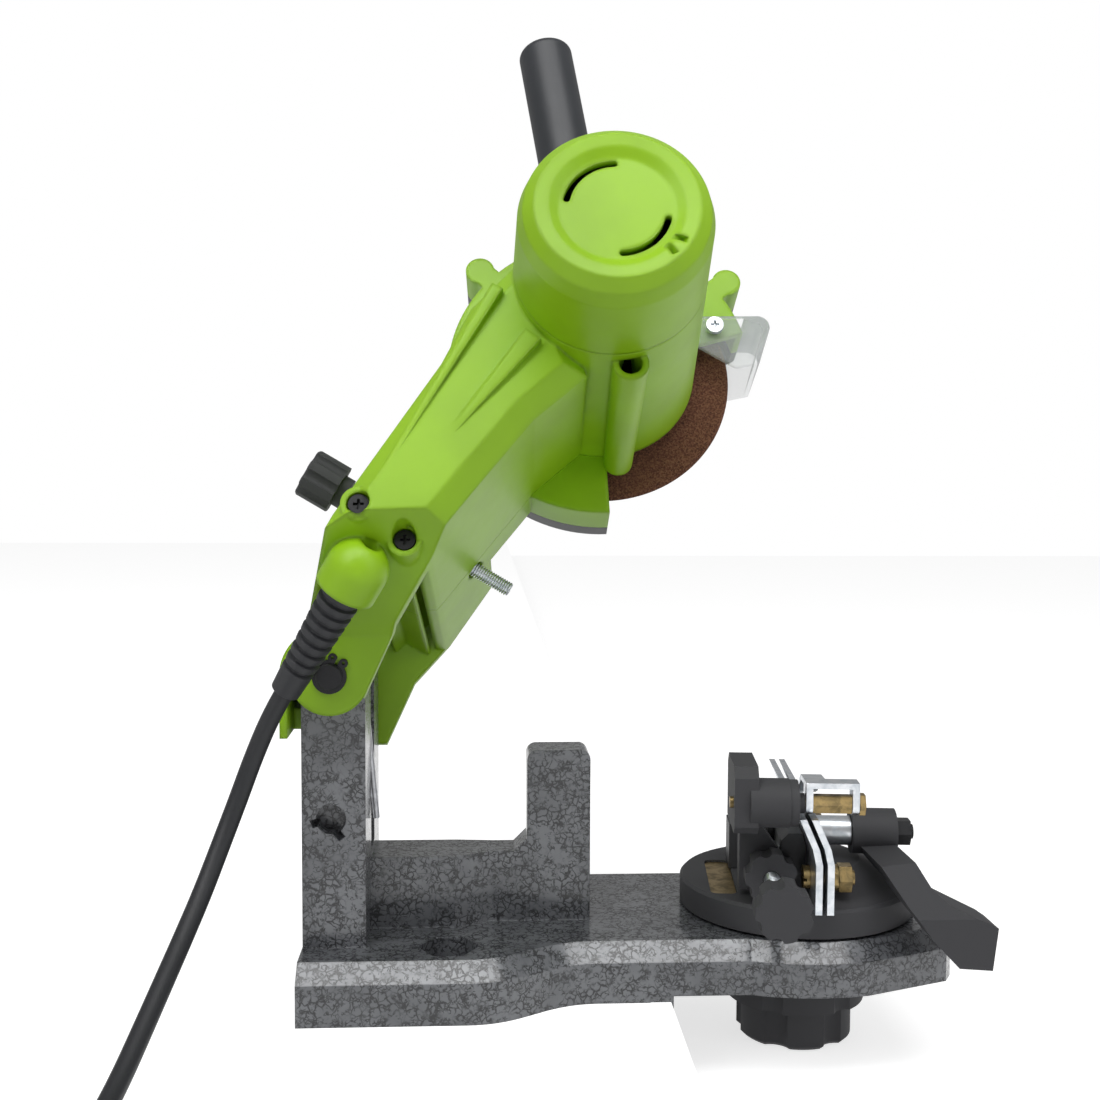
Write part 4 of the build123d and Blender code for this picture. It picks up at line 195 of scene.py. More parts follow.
class Sheet(Board):
    """The board of one material, with its output and a Principled shader."""

    def __init__(self, name: str) -> None:
        """Make a material whose tree holds only those two and the object's coordinates.

        Args:
            name: the material's name.
        """
        self.material = bpy.data.materials.new(name)
        self.material.use_nodes = True
        super().__init__(self.material.node_tree)
        self.tree.nodes.clear()
        output = self.tree.nodes.new("ShaderNodeOutputMaterial")
        self.shader = self.tree.nodes.new("ShaderNodeBsdfPrincipled")
        self.tree.links.new(self.shader.outputs[0], output.inputs[0])
        self.place = self.add("ShaderNodeTexCoord", {}, {}, "Object")

    def set(self, **values: object) -> None:
        """Feed sockets of the Principled shader, their names written with underscores."""
        for name, value in values.items():
            self.feed(self.shader.inputs[name.replace("_", " ")], value)

    def noise(
        self, scale: float, detail: float = 3.0, rough: float = 0.5, distort: float = 0.0
    ) -> Wire:
        """Add noise over the object.

        Args:
            scale: repeats per metre.
            detail: octaves.
            rough: share of the finer octaves.
            distort: how far the noise is swirled.

        Returns:
            The noise, from 0 to 1.
        """
        inputs = {"Vector": self.place, "Scale": scale, "Detail": detail}
        inputs.update({"Roughness": rough, "Distortion": distort})
        return self.add("ShaderNodeTexNoise", {}, inputs)

    def stretched(self, factors: Triple) -> Wire:
        """The object's coordinates stretched by factors along its axes."""
        return self.add("ShaderNodeMapping", {}, {"Vector": self.place, "Scale": factors})

    def steps(self, wire: Wire, low: float, high: float) -> Wire:
        """Smooth step of a wire.

        Args:
            wire: what is stepped.
            low: where the step starts, at 0.
            high: where it ends, at 1.

        Returns:
            The step.
        """
        settings = {"interpolation_type": "SMOOTHSTEP"}
        inputs = {"Value": wire, "From Min": low, "From Max": high}
        return self.add("ShaderNodeMapRange", settings, inputs)

    def mix(self, share: object, first: object, second: object) -> Wire:
        """Mix two colours.

        Args:
            share: how much of the second there is.
            first: colour where the share is 0.
            second: colour where the share is 1.

        Returns:
            The mixed colour.
        """
        return self.add("ShaderNodeMix", {"data_type": "RGBA"}, {0: share, 6: first, 7: second}, 2)

    def relief(self, height: Wire, depth: float, edge: float = 0.0) -> None:
        """Bump the normal by a height, on edges rounded by a radius.

        Args:
            height: the height's wire, about 0 to 1.
            depth: metres that one unit of height stands for.
            edge: radius in metres of the rounding of sharp edges, or 0.
        """
        inputs: dict[object, object] = {"Height": height, "Distance": depth, "Strength": 1.0}
        if edge:
            inputs["Normal"] = self.add("ShaderNodeBevel", {"samples": 4}, {"Radius": edge})
        self.set(Normal=self.add("ShaderNodeBump", {}, inputs))


# ------------------------------------------------------------------ finishes
# Scales are in repeats per metre, depths and edges in metres, and a band is where a step of
# noise begins and ends.
@dataclass(frozen=True)
class CracklePaint:
    """Grey casting paint that dries into a net of fine black cracks."""

    name: str = "crackle_paint"
    light: Colour = srgb(103, 105, 109)
    dark: Colour = srgb(86, 88, 92)
    crack: Colour = srgb(28, 29, 32)
    cells: float = 350.0
    fineness: float = 1.9
    warp_scale: float = 260.0
    warp_share: float = 0.0045
    net_band: Pair = (0.02, 0.15)
    fine_band: Pair = (0.02, 0.16)
    broken_scale: float = 170.0
    broken_band: Pair = (0.36, 0.56)
    scarce_scale: float = 420.0
    scarce_band: Pair = (0.47, 0.6)
    cloud_scale: float = 45.0
    cloud_band: Pair = (0.35, 0.65)
    pit_scale: float = 900.0
    depth: float = 0.00009
    edge: float = 0.0012

    def net(self, sheet: Sheet, bent: Wire, cells: float, band: Pair) -> Wire:
        """Lines of one net of cracks.

        Args:
            sheet: the material's sheet.
            bent: coordinates that the net lies in.
            cells: its cells per metre.
            band: distances from a line where it starts and stops fading.

        Returns:
            1 on a line and 0 between lines.
        """
        inputs = {"Vector": bent, "Scale": cells}
        away = sheet.add("ShaderNodeTexVoronoi", {"feature": "DISTANCE_TO_EDGE"}, inputs)
        return 1.0 - sheet.steps(away, *band)

    def build(self) -> bpy.types.Material:
        """Make the material.

        Returns:
            The material.
        """
        sheet = Sheet(self.name)
        inputs = {"Vector": sheet.place, "Scale": self.warp_scale, "Detail": 3.0}
        warp = sheet.add("ShaderNodeTexNoise", {}, inputs, "Color")
        inputs = {0: self.warp_share, 4: sheet.place, 5: warp}
        bent = sheet.add("ShaderNodeMix", {"data_type": "VECTOR"}, inputs, 1)
        wide = self.net(sheet, bent, self.cells, self.net_band)
        fine = self.net(sheet, bent, self.cells * self.fineness, self.fine_band)
        broken = sheet.steps(sheet.noise(self.broken_scale, 3.0), *self.broken_band)
        scarce = sheet.steps(sheet.noise(self.scarce_scale, 2.0), *self.scarce_band)
        cracks = (wide * broken).most(fine * scarce)
        cloud = sheet.steps(sheet.noise(self.cloud_scale, 4.0), *self.cloud_band)
        ground = sheet.mix(cloud, self.dark, self.light)
        sheet.set(
            Base_Color=sheet.mix(cracks, ground, self.crack),
            Metallic=0.25,
            Roughness=0.36 + 0.25 * cracks,
            Coat_Weight=0.7,
            Coat_Roughness=0.14,
        )
        sheet.relief((1.0 - cracks) + 0.4 * sheet.noise(self.pit_scale), self.depth, self.edge)
        return sheet.material


@dataclass(frozen=True)
class MouldedPlastic:
    """Injection-moulded plastic with a fine spark-eroded grain."""

    name: str
    colour: Colour
    grain: float = 2600.0
    depth: float = 0.000028
    shine: float = 0.42
    mottle: float = 0.08
    edge: float = 0.0008
    cloud_scale: float = 28.0
    cloud_band: Pair = (0.3, 0.7)
    rub_scale: float = 160.0

    def build(self) -> bpy.types.Material:
        """Make the material.

        Returns:
            The material.
        """
        sheet = Sheet(self.name)
        cloud = sheet.steps(sheet.noise(self.cloud_scale, 4.0), *self.cloud_band)
        darker = tuple(part * (1 - self.mottle) for part in self.colour)
        lighter = tuple(min(1.0, part * (1 + self.mottle)) for part in self.colour)
        grain = sheet.noise(self.grain, 2.0)
        rub = sheet.noise(self.rub_scale, 5.0, 0.65)
        sheet.set(
            Base_Color=sheet.mix(cloud, darker, lighter),
            Roughness=self.shine - 0.05 + 0.1 * rub,
            Specular_IOR_Level=0.45,
        )
        sheet.relief(grain + 0.5 * rub, self.depth, self.edge)
        return sheet.material


@dataclass(frozen=True)
class PlatedSteel:
    """Zinc-plated or yellow-passivated steel with drawn lines and clouding."""

    name: str
    colour: Colour
    cloudy: Colour
    shine: float = 0.26
    lines: Triple = (900.0, 900.0, 60.0)
    edge: float = 0.0003
    cloud_scale: float = 210.0
    cloud_band: Pair = (0.38, 0.66)
    depth: float = 0.000012

    def build(self) -> bpy.types.Material:
        """Make the material.

        Returns:
            The material.
        """
        sheet = Sheet(self.name)
        inputs = {"Vector": sheet.stretched(self.lines), "Scale": 1.0, "Detail": 3.0}
        drawn = sheet.add("ShaderNodeTexNoise", {}, inputs)
        cloud = sheet.steps(sheet.noise(self.cloud_scale, 5.0, 0.6, 0.6), *self.cloud_band)
        sheet.set(
            Base_Color=sheet.mix(cloud, self.colour, self.cloudy),
            Metallic=1.0,
            Roughness=self.shine + 0.14 * cloud + 0.08 * drawn,
        )
        sheet.relief(drawn + 0.4 * cloud, self.depth, self.edge)
        return sheet.material


@dataclass(frozen=True)
class AbrasiveGrit:
    """Bonded abrasive: brown grains of several tones with pores between them, the pores painted
    dark as their shade.
    """

    name: str = "bonded_abrasive"
    bond: Colour = srgb(85, 53, 39)
    grit: Colour = srgb(123, 85, 63)
    # Painted shade: the dark colour given to the pores, which are also dented in the relief.
    painted_pore_shade: Colour = srgb(44, 26, 20)
    grain_scale: float = 1900.0
    tone_scale: float = 1300.0
    tone_band: Pair = (0.35, 0.68)
    pore_scale: float = 2100.0
    pore_band: Pair = (0.62, 0.7)
    depth: float = 0.00016
    edge: float = 0.0005

    def build(self) -> bpy.types.Material:
        """Make the material.

        Returns:
            The material.
        """
        sheet = Sheet(self.name)
        inputs = {"Vector": sheet.place, "Scale": self.grain_scale}
        grains = sheet.add("ShaderNodeTexVoronoi", {"feature": "F1"}, inputs, "Distance")
        tone = sheet.steps(sheet.noise(self.tone_scale, 2.0), *self.tone_band)
        pores = sheet.steps(sheet.noise(self.pore_scale, 1.0), *self.pore_band)
        body = sheet.mix(tone, self.bond, self.grit)
        sheet.set(
            Base_Color=sheet.mix(pores, body, self.painted_pore_shade),
            Roughness=0.92,
            Specular_IOR_Level=0.25,
        )
        sheet.relief((1.0 - grains) - 0.8 * pores, self.depth, self.edge)
        return sheet.material


@dataclass(frozen=True)
class RubberSkin:
    """Soft rubber or PVC with a dull skin and faint dust."""

    name: str
    colour: Colour = srgb(34, 35, 38)
    dust: Colour = srgb(62, 63, 66)
    shine: float = 0.5
    dust_scale: float = 90.0
    dust_band: Pair = (0.5, 0.9)
    skin_scale: float = 1500.0
    depth: float = 0.00002
    edge: float = 0.0005

    def build(self) -> bpy.types.Material:
        """Make the material.

        Returns:
            The material.
        """
        sheet = Sheet(self.name)
        dusty = sheet.steps(sheet.noise(self.dust_scale, 6.0, 0.65), *self.dust_band)
        sheet.set(
            Base_Color=sheet.mix(0.35 * dusty, self.colour, self.dust),
            Roughness=self.shine + 0.15 * dusty,
            Specular_IOR_Level=0.4,
        )
        sheet.relief(sheet.noise(self.skin_scale, 2.0), self.depth, self.edge)
        return sheet.material


@dataclass(frozen=True)
class ClearPlastic:
    """Clear polycarbonate, made opaque and pale where it is seen edge on: a painted reflection."""

    name: str = "clear_visor"
    colour: Colour = (0.86, 0.89, 0.9)
    bending: float = 1.5
    haze_scale: float = 140.0
    depth: float = 0.00003
    edge: float = 0.0004

    def build(self) -> bpy.types.Material:
        """Make the material.

        Returns:
            The material.
        """
        sheet = Sheet(self.name)
        # Fresnel reflectance used as the pale colour's opacity: a painted reflection where the
        # visor is seen edge on.
        painted_reflection = sheet.add("ShaderNodeFresnel", {}, {"IOR": self.bending})
        haze = sheet.noise(self.haze_scale, 4.0)
        sheet.set(
            Base_Color=self.colour,
            Roughness=0.06 + 0.08 * haze,
            Alpha=0.16 + 0.75 * painted_reflection,
            Coat_Weight=0.5,
        )
        sheet.relief(haze, self.depth, self.edge)
        return sheet.material


@dataclass(frozen=True)
class IronSkin:
    """Black-painted or blackened metal with a slightly rough skin."""

    name: str
    colour: Colour = srgb(48, 49, 52)
    shine: float = 0.42
    metal: float = 0.0
    skin_scale: float = 600.0
    edge: float = 0.0006
    wear_scale: float = 120.0
    wear_band: Pair = (0.55, 0.85)
    depth: float = 0.00005

    def build(self) -> bpy.types.Material:
        """Make the material.

        Returns:
            The material.
        """
        sheet = Sheet(self.name)
        skin = sheet.noise(self.skin_scale, 5.0, 0.6)
        worn = sheet.steps(sheet.noise(self.wear_scale, 5.0, 0.7), *self.wear_band)
        light = tuple(min(1.0, part * 1.5 + 0.006) for part in self.colour)
        sheet.set(
            Base_Color=sheet.mix(0.5 * worn, self.colour, light),
            Metallic=self.metal,
            Roughness=self.shine + 0.12 * skin,
        )
        sheet.relief(skin, self.depth, self.edge)
        return sheet.material


@dataclass(frozen=True)
class Laminations:
    """Stack of thin steel sheets seen on its side."""

    name: str = "laminated_core"
    colour: Colour = srgb(118, 120, 124)
    gap: Colour = srgb(48, 44, 42)
    band_scale: float = 300.0
    waver: float = 0.6
    seam_band: Pair = (0.55, 0.9)
    depth: float = 0.00005

    def build(self) -> bpy.types.Material:
        """Make the material.

        Returns:
            The material.
        """
        sheet = Sheet(self.name)
        inputs = {"Vector": sheet.place, "Scale": self.band_scale, "Distortion": self.waver}
        bands = sheet.add("ShaderNodeTexWave", {"bands_direction": "Z"}, inputs)
        seams = sheet.steps(bands, *self.seam_band)
        sheet.set(
            Base_Color=sheet.mix(seams, self.colour, self.gap),
            Metallic=0.9,
            Roughness=0.4 + 0.2 * seams,
        )
        sheet.relief(1.0 - seams, self.depth)
        return sheet.material


class Finish(Enum):
    """The finishes of the sharpener."""

    CASTING = CracklePaint()
    LIME = MouldedPlastic("lime_housing", srgb(139, 184, 14), edge=0.0022)
    BLACK = MouldedPlastic("black_plastic", srgb(30, 31, 34), mottle=0.14)
    DARK = MouldedPlastic("dark_cover", srgb(62, 63, 66), shine=0.46)
    GRIP = MouldedPlastic("handle_sleeve", srgb(46, 48, 52), grain=1800.0, mottle=0.12)
    GLOSS = MouldedPlastic("switch_plastic", srgb(26, 26, 28), shine=0.2, depth=0.00001)
    WHEEL = AbrasiveGrit()
    ZINC = PlatedSteel("zinc_plate", (0.72, 0.74, 0.77), (0.56, 0.6, 0.64))
    BRONZE = PlatedSteel("yellow_passivated", srgb(158, 136, 92), srgb(118, 104, 74), 0.36)
    WIRE = PlatedSteel("spring_wire", (0.5, 0.51, 0.53), (0.38, 0.39, 0.41), 0.3)
    GROUND = PlatedSteel("ground_steel", (0.66, 0.66, 0.68), (0.55, 0.55, 0.57), 0.2)
    COPPER = PlatedSteel("commutator_copper", srgb(214, 140, 98), srgb(170, 98, 62), 0.3)
    ALLOY = IronSkin("cast_alloy", srgb(176, 178, 181), 0.38, 0.85)
    IRON = IronSkin("black_casting", srgb(46, 47, 50), 0.44)
    BLACKENED = IronSkin("blackened_steel", srgb(38, 38, 40), 0.36, 0.6, 900.0, 0.0003)
    CARBON = IronSkin("pressed_carbon", srgb(40, 40, 42), 0.6, 0.2, 1500.0, 0.0002)
    CORE = Laminations()
    CLEAR = ClearPlastic()
    CORD = RubberSkin("cord_sheath")
    BOOT = RubberSkin("boot_rubber", srgb(40, 41, 44))

    def material(self) -> bpy.types.Material:
        """The finish's material, made the first time it is asked for."""
        found = bpy.data.materials.get(self.value.name)
        return found or self.value.build()


NODE_FINISH: dict[str, Finish] = {
    "base_casting": Finish.CASTING,
    "hinge_pin": Finish.BLACKENED,
    "hinge_circlips": Finish.BLACKENED,
    "return_spring": Finish.WIRE,
    "main_housing": Finish.LIME,
    "rear_shell": Finish.LIME,
    "motor_cap": Finish.LIME,
    "guard_cover": Finish.DARK,
    "guard_screws": Finish.BLACKENED,
    "housing_screws": Finish.BLACKENED,
    "motor_shaft": Finish.GROUND,
    "grinding_wheel": Finish.WHEEL,
    "inner_flange": Finish.ZINC,
    "outer_flange": Finish.ZINC,
    "flange_nut": Finish.BRONZE,
    "bearing_plate": Finish.ALLOY,
    "ball_bearings": Finish.GROUND,
    "stator": Finish.CORE,
    "rotor_core": Finish.CORE,
    "commutator": Finish.COPPER,
    "cooling_fan": Finish.BLACK,
    "brush_ring": Finish.BLACK,
    "carbon_brushes": Finish.CARBON,
    "handle_grip": Finish.GRIP,
    "switch_body": Finish.GLOSS,
    "switch_rocker": Finish.GLOSS,
    "visor": Finish.CLEAR,
    "visor_screws": Finish.ZINC,
    "depth_knob": Finish.BLACK,
    "depth_lock_nut": Finish.ZINC,
    "cord_boot": Finish.BOOT,
    "mains_plug": Finish.CORD,
    "plug_pins": Finish.GROUND,
    "turntable": Finish.BLACK,
    "index_plate": Finish.BRONZE,
    "pivot_bolt": Finish.ZINC,
    "pivot_washer": Finish.ZINC,
    "lock_knob": Finish.BLACK,
    "fixed_rail": Finish.ZINC,
    "moving_rail": Finish.ZINC,
    "rail_guide_bolts": Finish.BRONZE,
    "rail_washers": Finish.BRONZE,
    "rail_nuts": Finish.BRONZE,
    "vise_body": Finish.IRON,
    "clamp_bolt": Finish.BLACKENED,
    "clamp_sleeve": Finish.ZINC,
    "clamp_lever": Finish.BLACK,
    "clamp_nut": Finish.BLACKENED,
    "stop_carrier": Finish.BLACK,
    "stop_collar": Finish.BLACK,
    "stop_pivot_bolt": Finish.BRONZE,
    "stop_spacer": Finish.BRONZE,
    "stop_bracket": Finish.ZINC,
    "adjuster_knob": Finish.BLACK,
    "stop_lock_knob": Finish.BLACK,
}


# ------------------------------------------------------------------ helpers for pieces
def dress(piece: bpy.types.Object, finish: Finish) -> None:
    """Give a piece one finish in place of any it has."""
    piece.data.materials.clear()
    piece.data.materials.append(finish.material())


def piece_of(name: str, form: bmesh.types.BMesh, finish: Finish) -> bpy.types.Object:
    """Turn a bmesh into a smooth-shaded piece of the scene.

    Args:
        name: the piece's name.
        form: the mesh, which is freed.
        finish: its finish.

    Returns:
        The new object.
    """
    bmesh.ops.recalc_face_normals(form, faces=form.faces)
    mesh = bpy.data.meshes.new(name)
    form.to_mesh(mesh)
    form.free()
    piece = bpy.data.objects.new(name, mesh)
    bpy.context.scene.collection.objects.link(piece)
    mesh.materials.append(finish.material())
    mesh.shade_smooth()
    mesh.set_sharp_from_angle(angle=CREASE)
    return piece


@dataclass
class ThreadedRod:
    """A rod with a cut thread, built about its own axis."""

    name: str
    start: Vector
    way: Vector
    length: float
    radius: float
    pitch: float
    depth: float
    around: int = 28
    rings_per_turn: int = 4

    def build(self, finish: Finish) -> bpy.types.Object:
        """Make the rod, its thread a helix of ridges between chamfered ends.

        Args:
            finish: the rod's finish.

        Returns:
            The rod, in place.
        """
        form = bmesh.new()
        steps = int(self.length / self.pitch * self.rings_per_turn)
        rings = []
        for step in range(steps + 1):
            along = self.length * step / steps
            end = min(1.0, (self.length - along) / self.depth, along / self.depth)
            chamfer = self.depth * (1 - max(end, 0.0))
            ring = []
            for spoke in range(self.around):
                turn = spoke / self.around
                ridge = abs(((along / self.pitch + turn) % 1.0) - 0.5) * 2
                radius = self.radius - max(self.depth * (1 - ridge), chamfer)
                angle = math.tau * turn
                place = (radius * math.cos(angle), radius * math.sin(angle), along)
                ring.append(form.verts.new(place))
            rings.append(ring)
        for low, high in zip(rings, rings[1:]):
            for spoke in range(self.around):
                after = (spoke + 1) % self.around
                form.faces.new((low[spoke], low[after], high[after], high[spoke]))
        form.faces.new(list(reversed(rings[0])))
        form.faces.new(rings[-1])
        turn_to = self.way.to_track_quat("Z", "Y").to_matrix().to_4x4()
        form.transform(Matrix.Translation(self.start) @ turn_to)
        return piece_of(self.name, form, finish)


# ------------------------------------------------------------------ sub-assemblies
@dataclass
class Castings:
    """Every rigid node that keeps its CAD shape and gets its finish here."""

    finishes: dict[str, Finish] = field(default_factory=lambda: dict(NODE_FINISH))

    def build(self, nodes: dict[str, bpy.types.Object]) -> None:
        """Dress the nodes.

        Args:
            nodes: the frame's objects by node name.
        """
        for name, finish in self.finishes.items():
            dress(nodes[name], finish)
            log.info("%s: %s", name, finish.value.name)


@dataclass
class DepthStop:
    """Threaded rod of the depth stop, in place of the plain one of the frame."""

    tip: Vector = field(default_factory=lambda: Vector((-119.4, -14.0, 154.2)) * MM)
    tilt: float = math.radians(-30.4)
    length: float = 88 * MM
    radius: float = 3.0 * MM
    pitch: float = 1.0 * MM
    thread_depth: float = 0.55 * MM

    def build(self) -> None:
        """Make the rod and hand it to its body."""
        rod = ThreadedRod(
            name="depth_thread",
            start=self.tip + Vector(PIVOT) * MM,
            way=Vector((-math.cos(self.tilt), 0, -math.sin(self.tilt))),
            length=self.length,
            radius=self.radius,
            pitch=self.pitch,
            depth=self.thread_depth,
        ).build(Finish.ZINC)
        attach(rod, "depth_rod")
        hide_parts("depth_screw")
        log.info("depth_thread built")


@dataclass
class Adjuster:
    """Threaded rod of the chain stop's adjuster."""

    yaw: float = math.radians(-5.9)
    across: float = -14.5 * MM
    level: float = 44.6 * MM
    near: float = -83.0 * MM
    far: float = 20.0 * MM
    radius: float = 3.25 * MM
    pitch: float = 1.25 * MM
    thread_depth: float = 0.6 * MM

    def build(self) -> None:
        """Make the rod and hand it to its body."""
        right = Vector((math.cos(self.yaw), math.sin(self.yaw), 0))
        away = Vector((-math.sin(self.yaw), math.cos(self.yaw), 0))
        foot = Vector(PIVOT) * MM + Vector((0, 0, self.level))
        rod = ThreadedRod(
            name="adjuster_thread",
            start=foot + right * self.across + away * self.near,
            way=away,
            length=self.far - self.near,
            radius=self.radius,
            pitch=self.pitch,
            depth=self.thread_depth,
        ).build(Finish.ZINC)
        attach(rod, "adjuster")
        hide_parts("adjuster_screw")
        log.info("adjuster_thread built")


@dataclass
class MainsCord:
    """Free cord from the boot to the plug, its spare length coiled on the bench.

    The radius, the boot's start and its length are in metres, and the rest is in millimetres.
    """

    radius: float = 3.5 * MM
    boot_start: Vector = field(default_factory=lambda: Vector((-177.9, -80.0, 160.6)) * MM)
    boot_way: Vector = field(default_factory=lambda: Vector((-23.7, 15.0, -39.2)).normalized())
    boot_length: float = 46 * MM
    route: tuple[Triple, ...] = (
        (-205.9, -62.3, 114.3),
        (-213.0, -59.3, 98.2),
        (-218.6, -61.3, 82.4),
        (-223.8, -67.3, 67.6),
        (-228.3, -77.0, 53.8),
        (-232.6, -89.5, 41.8),
        (-236.4, -103.5, 31.2),
        (-239.9, -118.0, 21.2),
        (-242.9, -132.5, 12.6),
        (-245.6, -147.5, 6.6),
        (-248.0, -163.5, 3.8),
        (-249.6, -179.5, 3.5),
    )
    bend_from: int = 4  # the point from which the cord starts to bend with the boot
    coil_centre: Pair = (-300.0, -196.0)
    coil_out: float = 50.0
    coil_pitch: float = 7.6
    coil_turns: float = 3.2
    coil_layer: float = 7.6
    coil_end: float = 6.685
    climb_turns: float = 0.5
    around: int = 16
    plug_level: float = 22.2
    bend: float = 36.0
    bend_points: int = 6

    def coil_point(self, turn: float) -> Vector:
        """Place on the coil, which runs in, out again on top, then onto a third layer.

        Args:
            turn: turns from the coil's outer start.

        Returns:
            The place in millimetres.
        """
        inward = self.coil_turns - abs(turn - self.coil_turns)
        radius = self.coil_out - self.coil_pitch * abs(inward)
        level = self.radius / MM
        for change in (self.coil_turns, 2 * self.coil_turns):
            climb = (turn - change + self.climb_turns / 2) / self.climb_turns
            level += self.coil_layer * eased(min(max(climb, 0.0), 1.0))
        angle = -math.tau * turn
        across = self.coil_centre[0] + radius * math.cos(angle)
        along = self.coil_centre[1] + radius * math.sin(angle)
        return Vector((across, along, level))

    def points(self) -> list[Vector]:
        """Control points of the whole cord.

        Returns:
            The points, in metres.
        """
        places = [(self.boot_start + self.boot_way * self.boot_length) / MM]
        places += [Vector(place) for place in self.route]
        spread = 1 / math.cos(math.pi / self.around)
        centre = Vector((*self.coil_centre, 0))
        for number in range(int(self.around * self.coil_end)):
            place = self.coil_point(number / self.around)
            flat = Vector((place.x, place.y, 0)) - centre
            places.append(centre + flat * spread + Vector((0, 0, place.z)))
        places += self.homeward()
        return [(place + Vector(PIVOT)) * MM for place in places]

    def homeward(self) -> list[Vector]:
        """Control points of the bend that brings the end back over the coil to the plug.

        Returns:
            The points, in millimetres.
        """
        near = 0.001
        leave = self.coil_point(self.coil_end)
        ahead = self.coil_point(self.coil_end + near) - self.coil_point(self.coil_end - near)
        ahead = Vector((ahead.x, ahead.y, 0)).normalized()
        ground = Vector((leave.x, leave.y, 0))
        middle = ground + Vector((ahead.y, -ahead.x, 0)) * self.bend
        swing = ahead.angle(Vector((0, -1, 0)))
        spread = 1 / math.cos(swing / self.bend_points / 2)
        places = []
        for number in range(self.bend_points):
            share = (number + 0.5) / self.bend_points
            spoke = Matrix.Rotation(-swing * share, 3, "Z") @ (ground - middle)
            height = leave.z + (self.plug_level - leave.z) * eased(share)
            places.append(middle + spoke * spread + Vector((0, 0, height)))
        end = middle + Vector((self.bend, 0, self.plug_level))
        for radii in (0.5, 2):
            places.append(end + Vector((0, -radii * self.radius / MM, 0)))
        return places

    def build(self, nodes: dict[str, bpy.types.Object]) -> None:
        """Args:
            nodes: the frame's objects by node name; not used.
        """
        line = bpy.data.curves.new("cord_sheath", "CURVE")
        line.dimensions = "3D"
        line.resolution_u = 8
        spline = line.splines.new("NURBS")
        places = self.points()
        spline.points.add(len(places) - 1)
        for point, place in zip(spline.points, places):
            point.co = (*place, 1.0)
        spline.order_u = 3
        spline.use_endpoint_u = True
        guide = bpy.data.objects.new("cord_guide", line)
        bare = bpy.data.meshes.new_from_object(guide)
        line.bevel_depth = self.radius
        line.bevel_resolution = 5
        line.use_fill_caps = True
        tube = bpy.data.meshes.new_from_object(guide)
        bpy.data.objects.remove(guide)
        bpy.data.meshes.remove(bare)
        bpy.data.curves.remove(line)
        cord = bpy.data.objects.new("cord_line", tube)
        bpy.context.scene.collection.objects.link(cord)
        dress(cord, Finish.CORD)
        tube.shade_smooth()
        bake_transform(cord)
        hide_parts("mains_cord", "cord_coil")
        2 * self.radius
        log.info("cord_line built with %d points", len(places))


# ------------------------------------------------------------------ studio
@dataclass(frozen=True)
class Lamp:
    """An oblong area lamp."""

    name: str
    place: Triple
    size: Pair
    watts: float

    def build(self, target: Triple) -> None:
        """Hang the lamp.

        Args:
            target: the point that it faces.
        """
        lamp = bpy.data.lights.new(self.name, "AREA")
        lamp.shape = "RECTANGLE"
        lamp.size, lamp.size_y = self.size
        lamp.energy = self.watts
        holder = bpy.data.objects.new(self.name, lamp)
        holder.location = self.place
        way = Vector(target) - Vector(self.place)
        holder.rotation_euler = way.to_track_quat("-Z", "Y").to_euler()
        bpy.context.scene.collection.objects.link(holder)


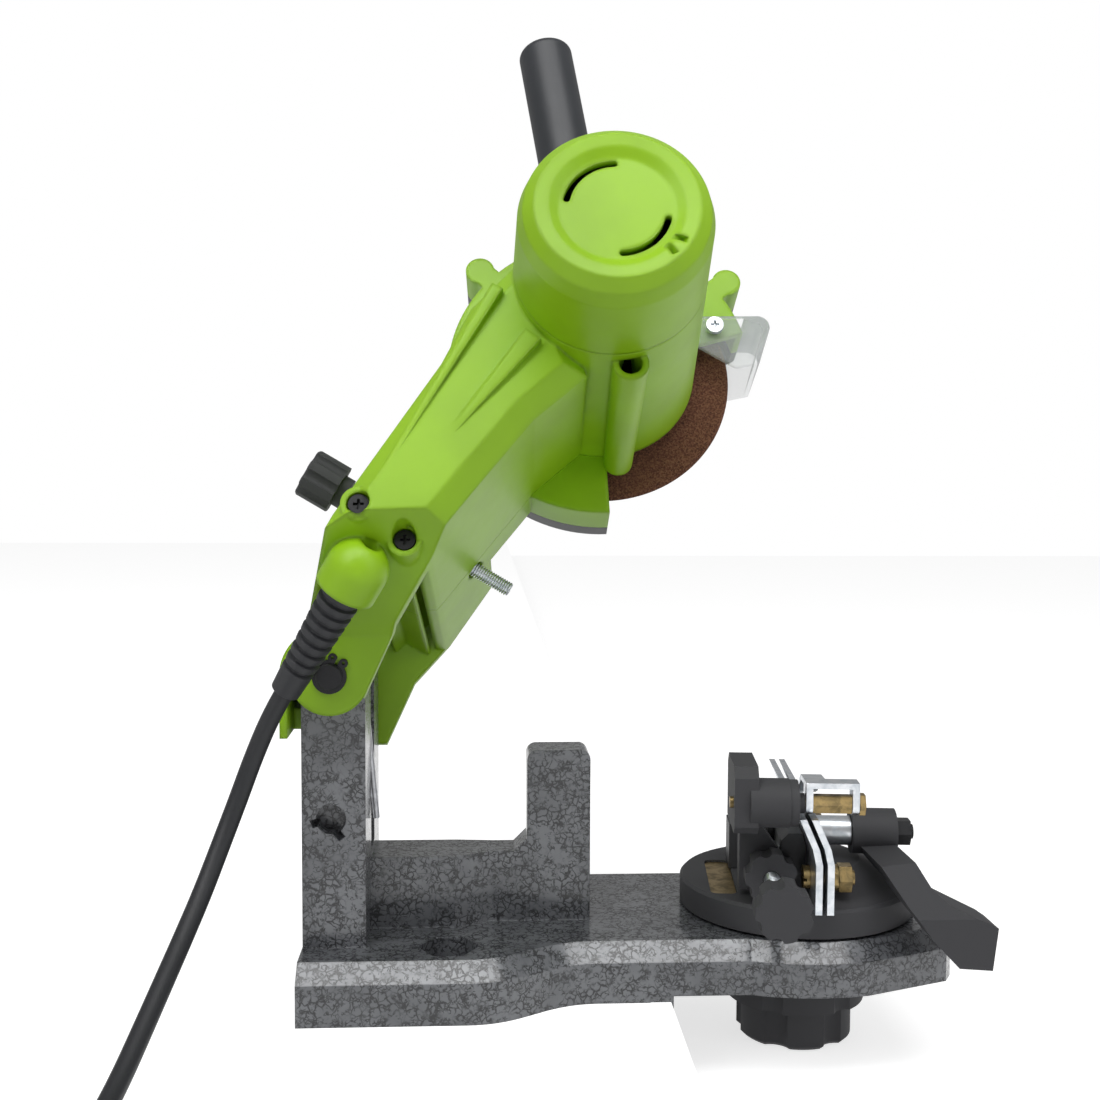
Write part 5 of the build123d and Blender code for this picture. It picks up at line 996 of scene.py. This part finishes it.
@dataclass
class Studio:
    """White bench, floor, lamps, world and camera."""

    reach: float = 3.0
    bench_edge: float = 84.5 * MM
    bench_sink: float = 0.05 * MM
    floor_sink: float = 1 * MM
    floor_thick: float = 10 * MM
    paint: Colour = (0.6, 0.6, 0.6)
    glow: Colour = (0.7, 0.7, 0.7)
    ambient: float = 0.38
    target: Triple = (0.05, 0.0, 0.15)
    lamps: tuple[Lamp, ...] = (
        Lamp("key", (-0.8, -1.0, 1.3), (0.8, 0.8), 9.0),
        Lamp("fill", (1.25, -0.9, 0.8), (0.9, 0.9), 4.0),
        Lamp("strip", (0.1, -0.65, 1.5), (1.5, 0.45), 13.0),
    )
    camera_place: Triple = (-131.84, -549.42, 203.61)
    yaw: float = math.radians(-3.02)
    pitch: float = math.radians(3.57)
    roll: float = math.radians(-0.24)
    lens: float = 44.36

    def white(self) -> bpy.types.Material:
        """Pale floor that the camera sees as white, with soft shadows kept.

        Returns:
            The material.
        """
        sheet = Sheet("studio_white")
        camera = sheet.add("ShaderNodeLightPath", {}, {}, "Is Camera Ray")
        seen = camera.most(camera.twin("Is Glossy Ray")).most(camera.twin("Is Transmission Ray"))
        sheet.set(
            Base_Color=self.paint,
            Roughness=0.9,
            Specular_IOR_Level=0.1,
            Emission_Color=sheet.mix(seen, (0.0, 0.0, 0.0), self.glow),
            Emission_Strength=1.0,
        )
        return sheet.material

    def slab(self, name: str, low: Vector, high: Vector) -> None:
        """Add a box of the studio.

        Args:
            name: the box's name.
            low: its lowest corner.
            high: its highest corner.
        """
        form = bmesh.new()
        bmesh.ops.create_cube(form, size=1.0)
        middle = (low + high) / 2
        size = high - low
        form.transform(Matrix.Translation(middle) @ Matrix.Diagonal((*size, 1.0)))
        mesh = bpy.data.meshes.new(name)
        form.to_mesh(mesh)
        form.free()
        slab = bpy.data.objects.new(name, mesh)
        bpy.context.scene.collection.objects.link(slab)
        mesh.materials.append(self.white())
        slab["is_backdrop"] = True

    def camera(self) -> None:
        """Stand the camera where the photograph was taken from."""
        level = math.cos(self.pitch)
        forward = Vector(
            (-math.sin(self.yaw) * level, math.cos(self.yaw) * level, -math.sin(self.pitch))
        )
        right = Vector((math.cos(self.yaw), math.sin(self.yaw), 0))
        right = Matrix.Rotation(self.roll, 3, forward) @ right
        up = right.cross(forward)
        lens = bpy.data.cameras.new("camera")
        lens.lens = self.lens
        lens.sensor_width = 36.0
        lens.clip_start = 0.01
        camera = bpy.data.objects.new("camera", lens)
        axes = Matrix((right, up, -forward)).transposed().to_4x4()
        place = (Vector(self.camera_place) + Vector(PIVOT)) * MM
        camera.matrix_world = Matrix.Translation(place) @ axes
        bpy.context.scene.collection.objects.link(camera)
        bpy.context.scene.camera = camera

    def world(self) -> None:
        """Even pale surroundings, white to the camera."""
        world = bpy.data.worlds.new("studio")
        bpy.context.scene.world = world
        world.use_nodes = True
        sky = Board(world.node_tree)
        camera = sky.add("ShaderNodeLightPath", {}, {}, "Is Camera Ray")
        seen = camera.most(camera.twin("Is Transmission Ray"))
        inputs = {"Value": seen, "To Min": self.ambient, "To Max": 1.0}
        background = world.node_tree.nodes["Background"]
        sky.feed(background.inputs["Strength"], sky.add("ShaderNodeMapRange", {}, inputs))
        sky.feed(background.inputs["Color"], (1.0, 1.0, 1.0))

    def build(self) -> None:
        """Make the whole studio."""
        bpy.context.scene.view_settings.view_transform = "Standard"
        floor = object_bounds()[0][2] - self.floor_sink
        corner = Vector((-self.reach, -self.reach, floor))
        self.slab("bench", corner, Vector((self.bench_edge, self.reach, -self.bench_sink)))
        below = corner - Vector((0, 0, self.floor_thick))
        self.slab("floor", below, Vector((self.reach, self.reach, floor)))
        self.camera()
        self.world()
        for lamp in self.lamps:
            lamp.build(self.target)
        log.info("studio built")


def main() -> None:
    """Build the looks around the frame."""
    logging.basicConfig(level=logging.INFO)
    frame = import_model()
    nodes = frame["nodes"]
    Castings().build(nodes)
    DepthStop().build()
    Adjuster().build()
    MainsCord().build(nodes)
    Studio().build()


if __name__ == "__main__":
    main()
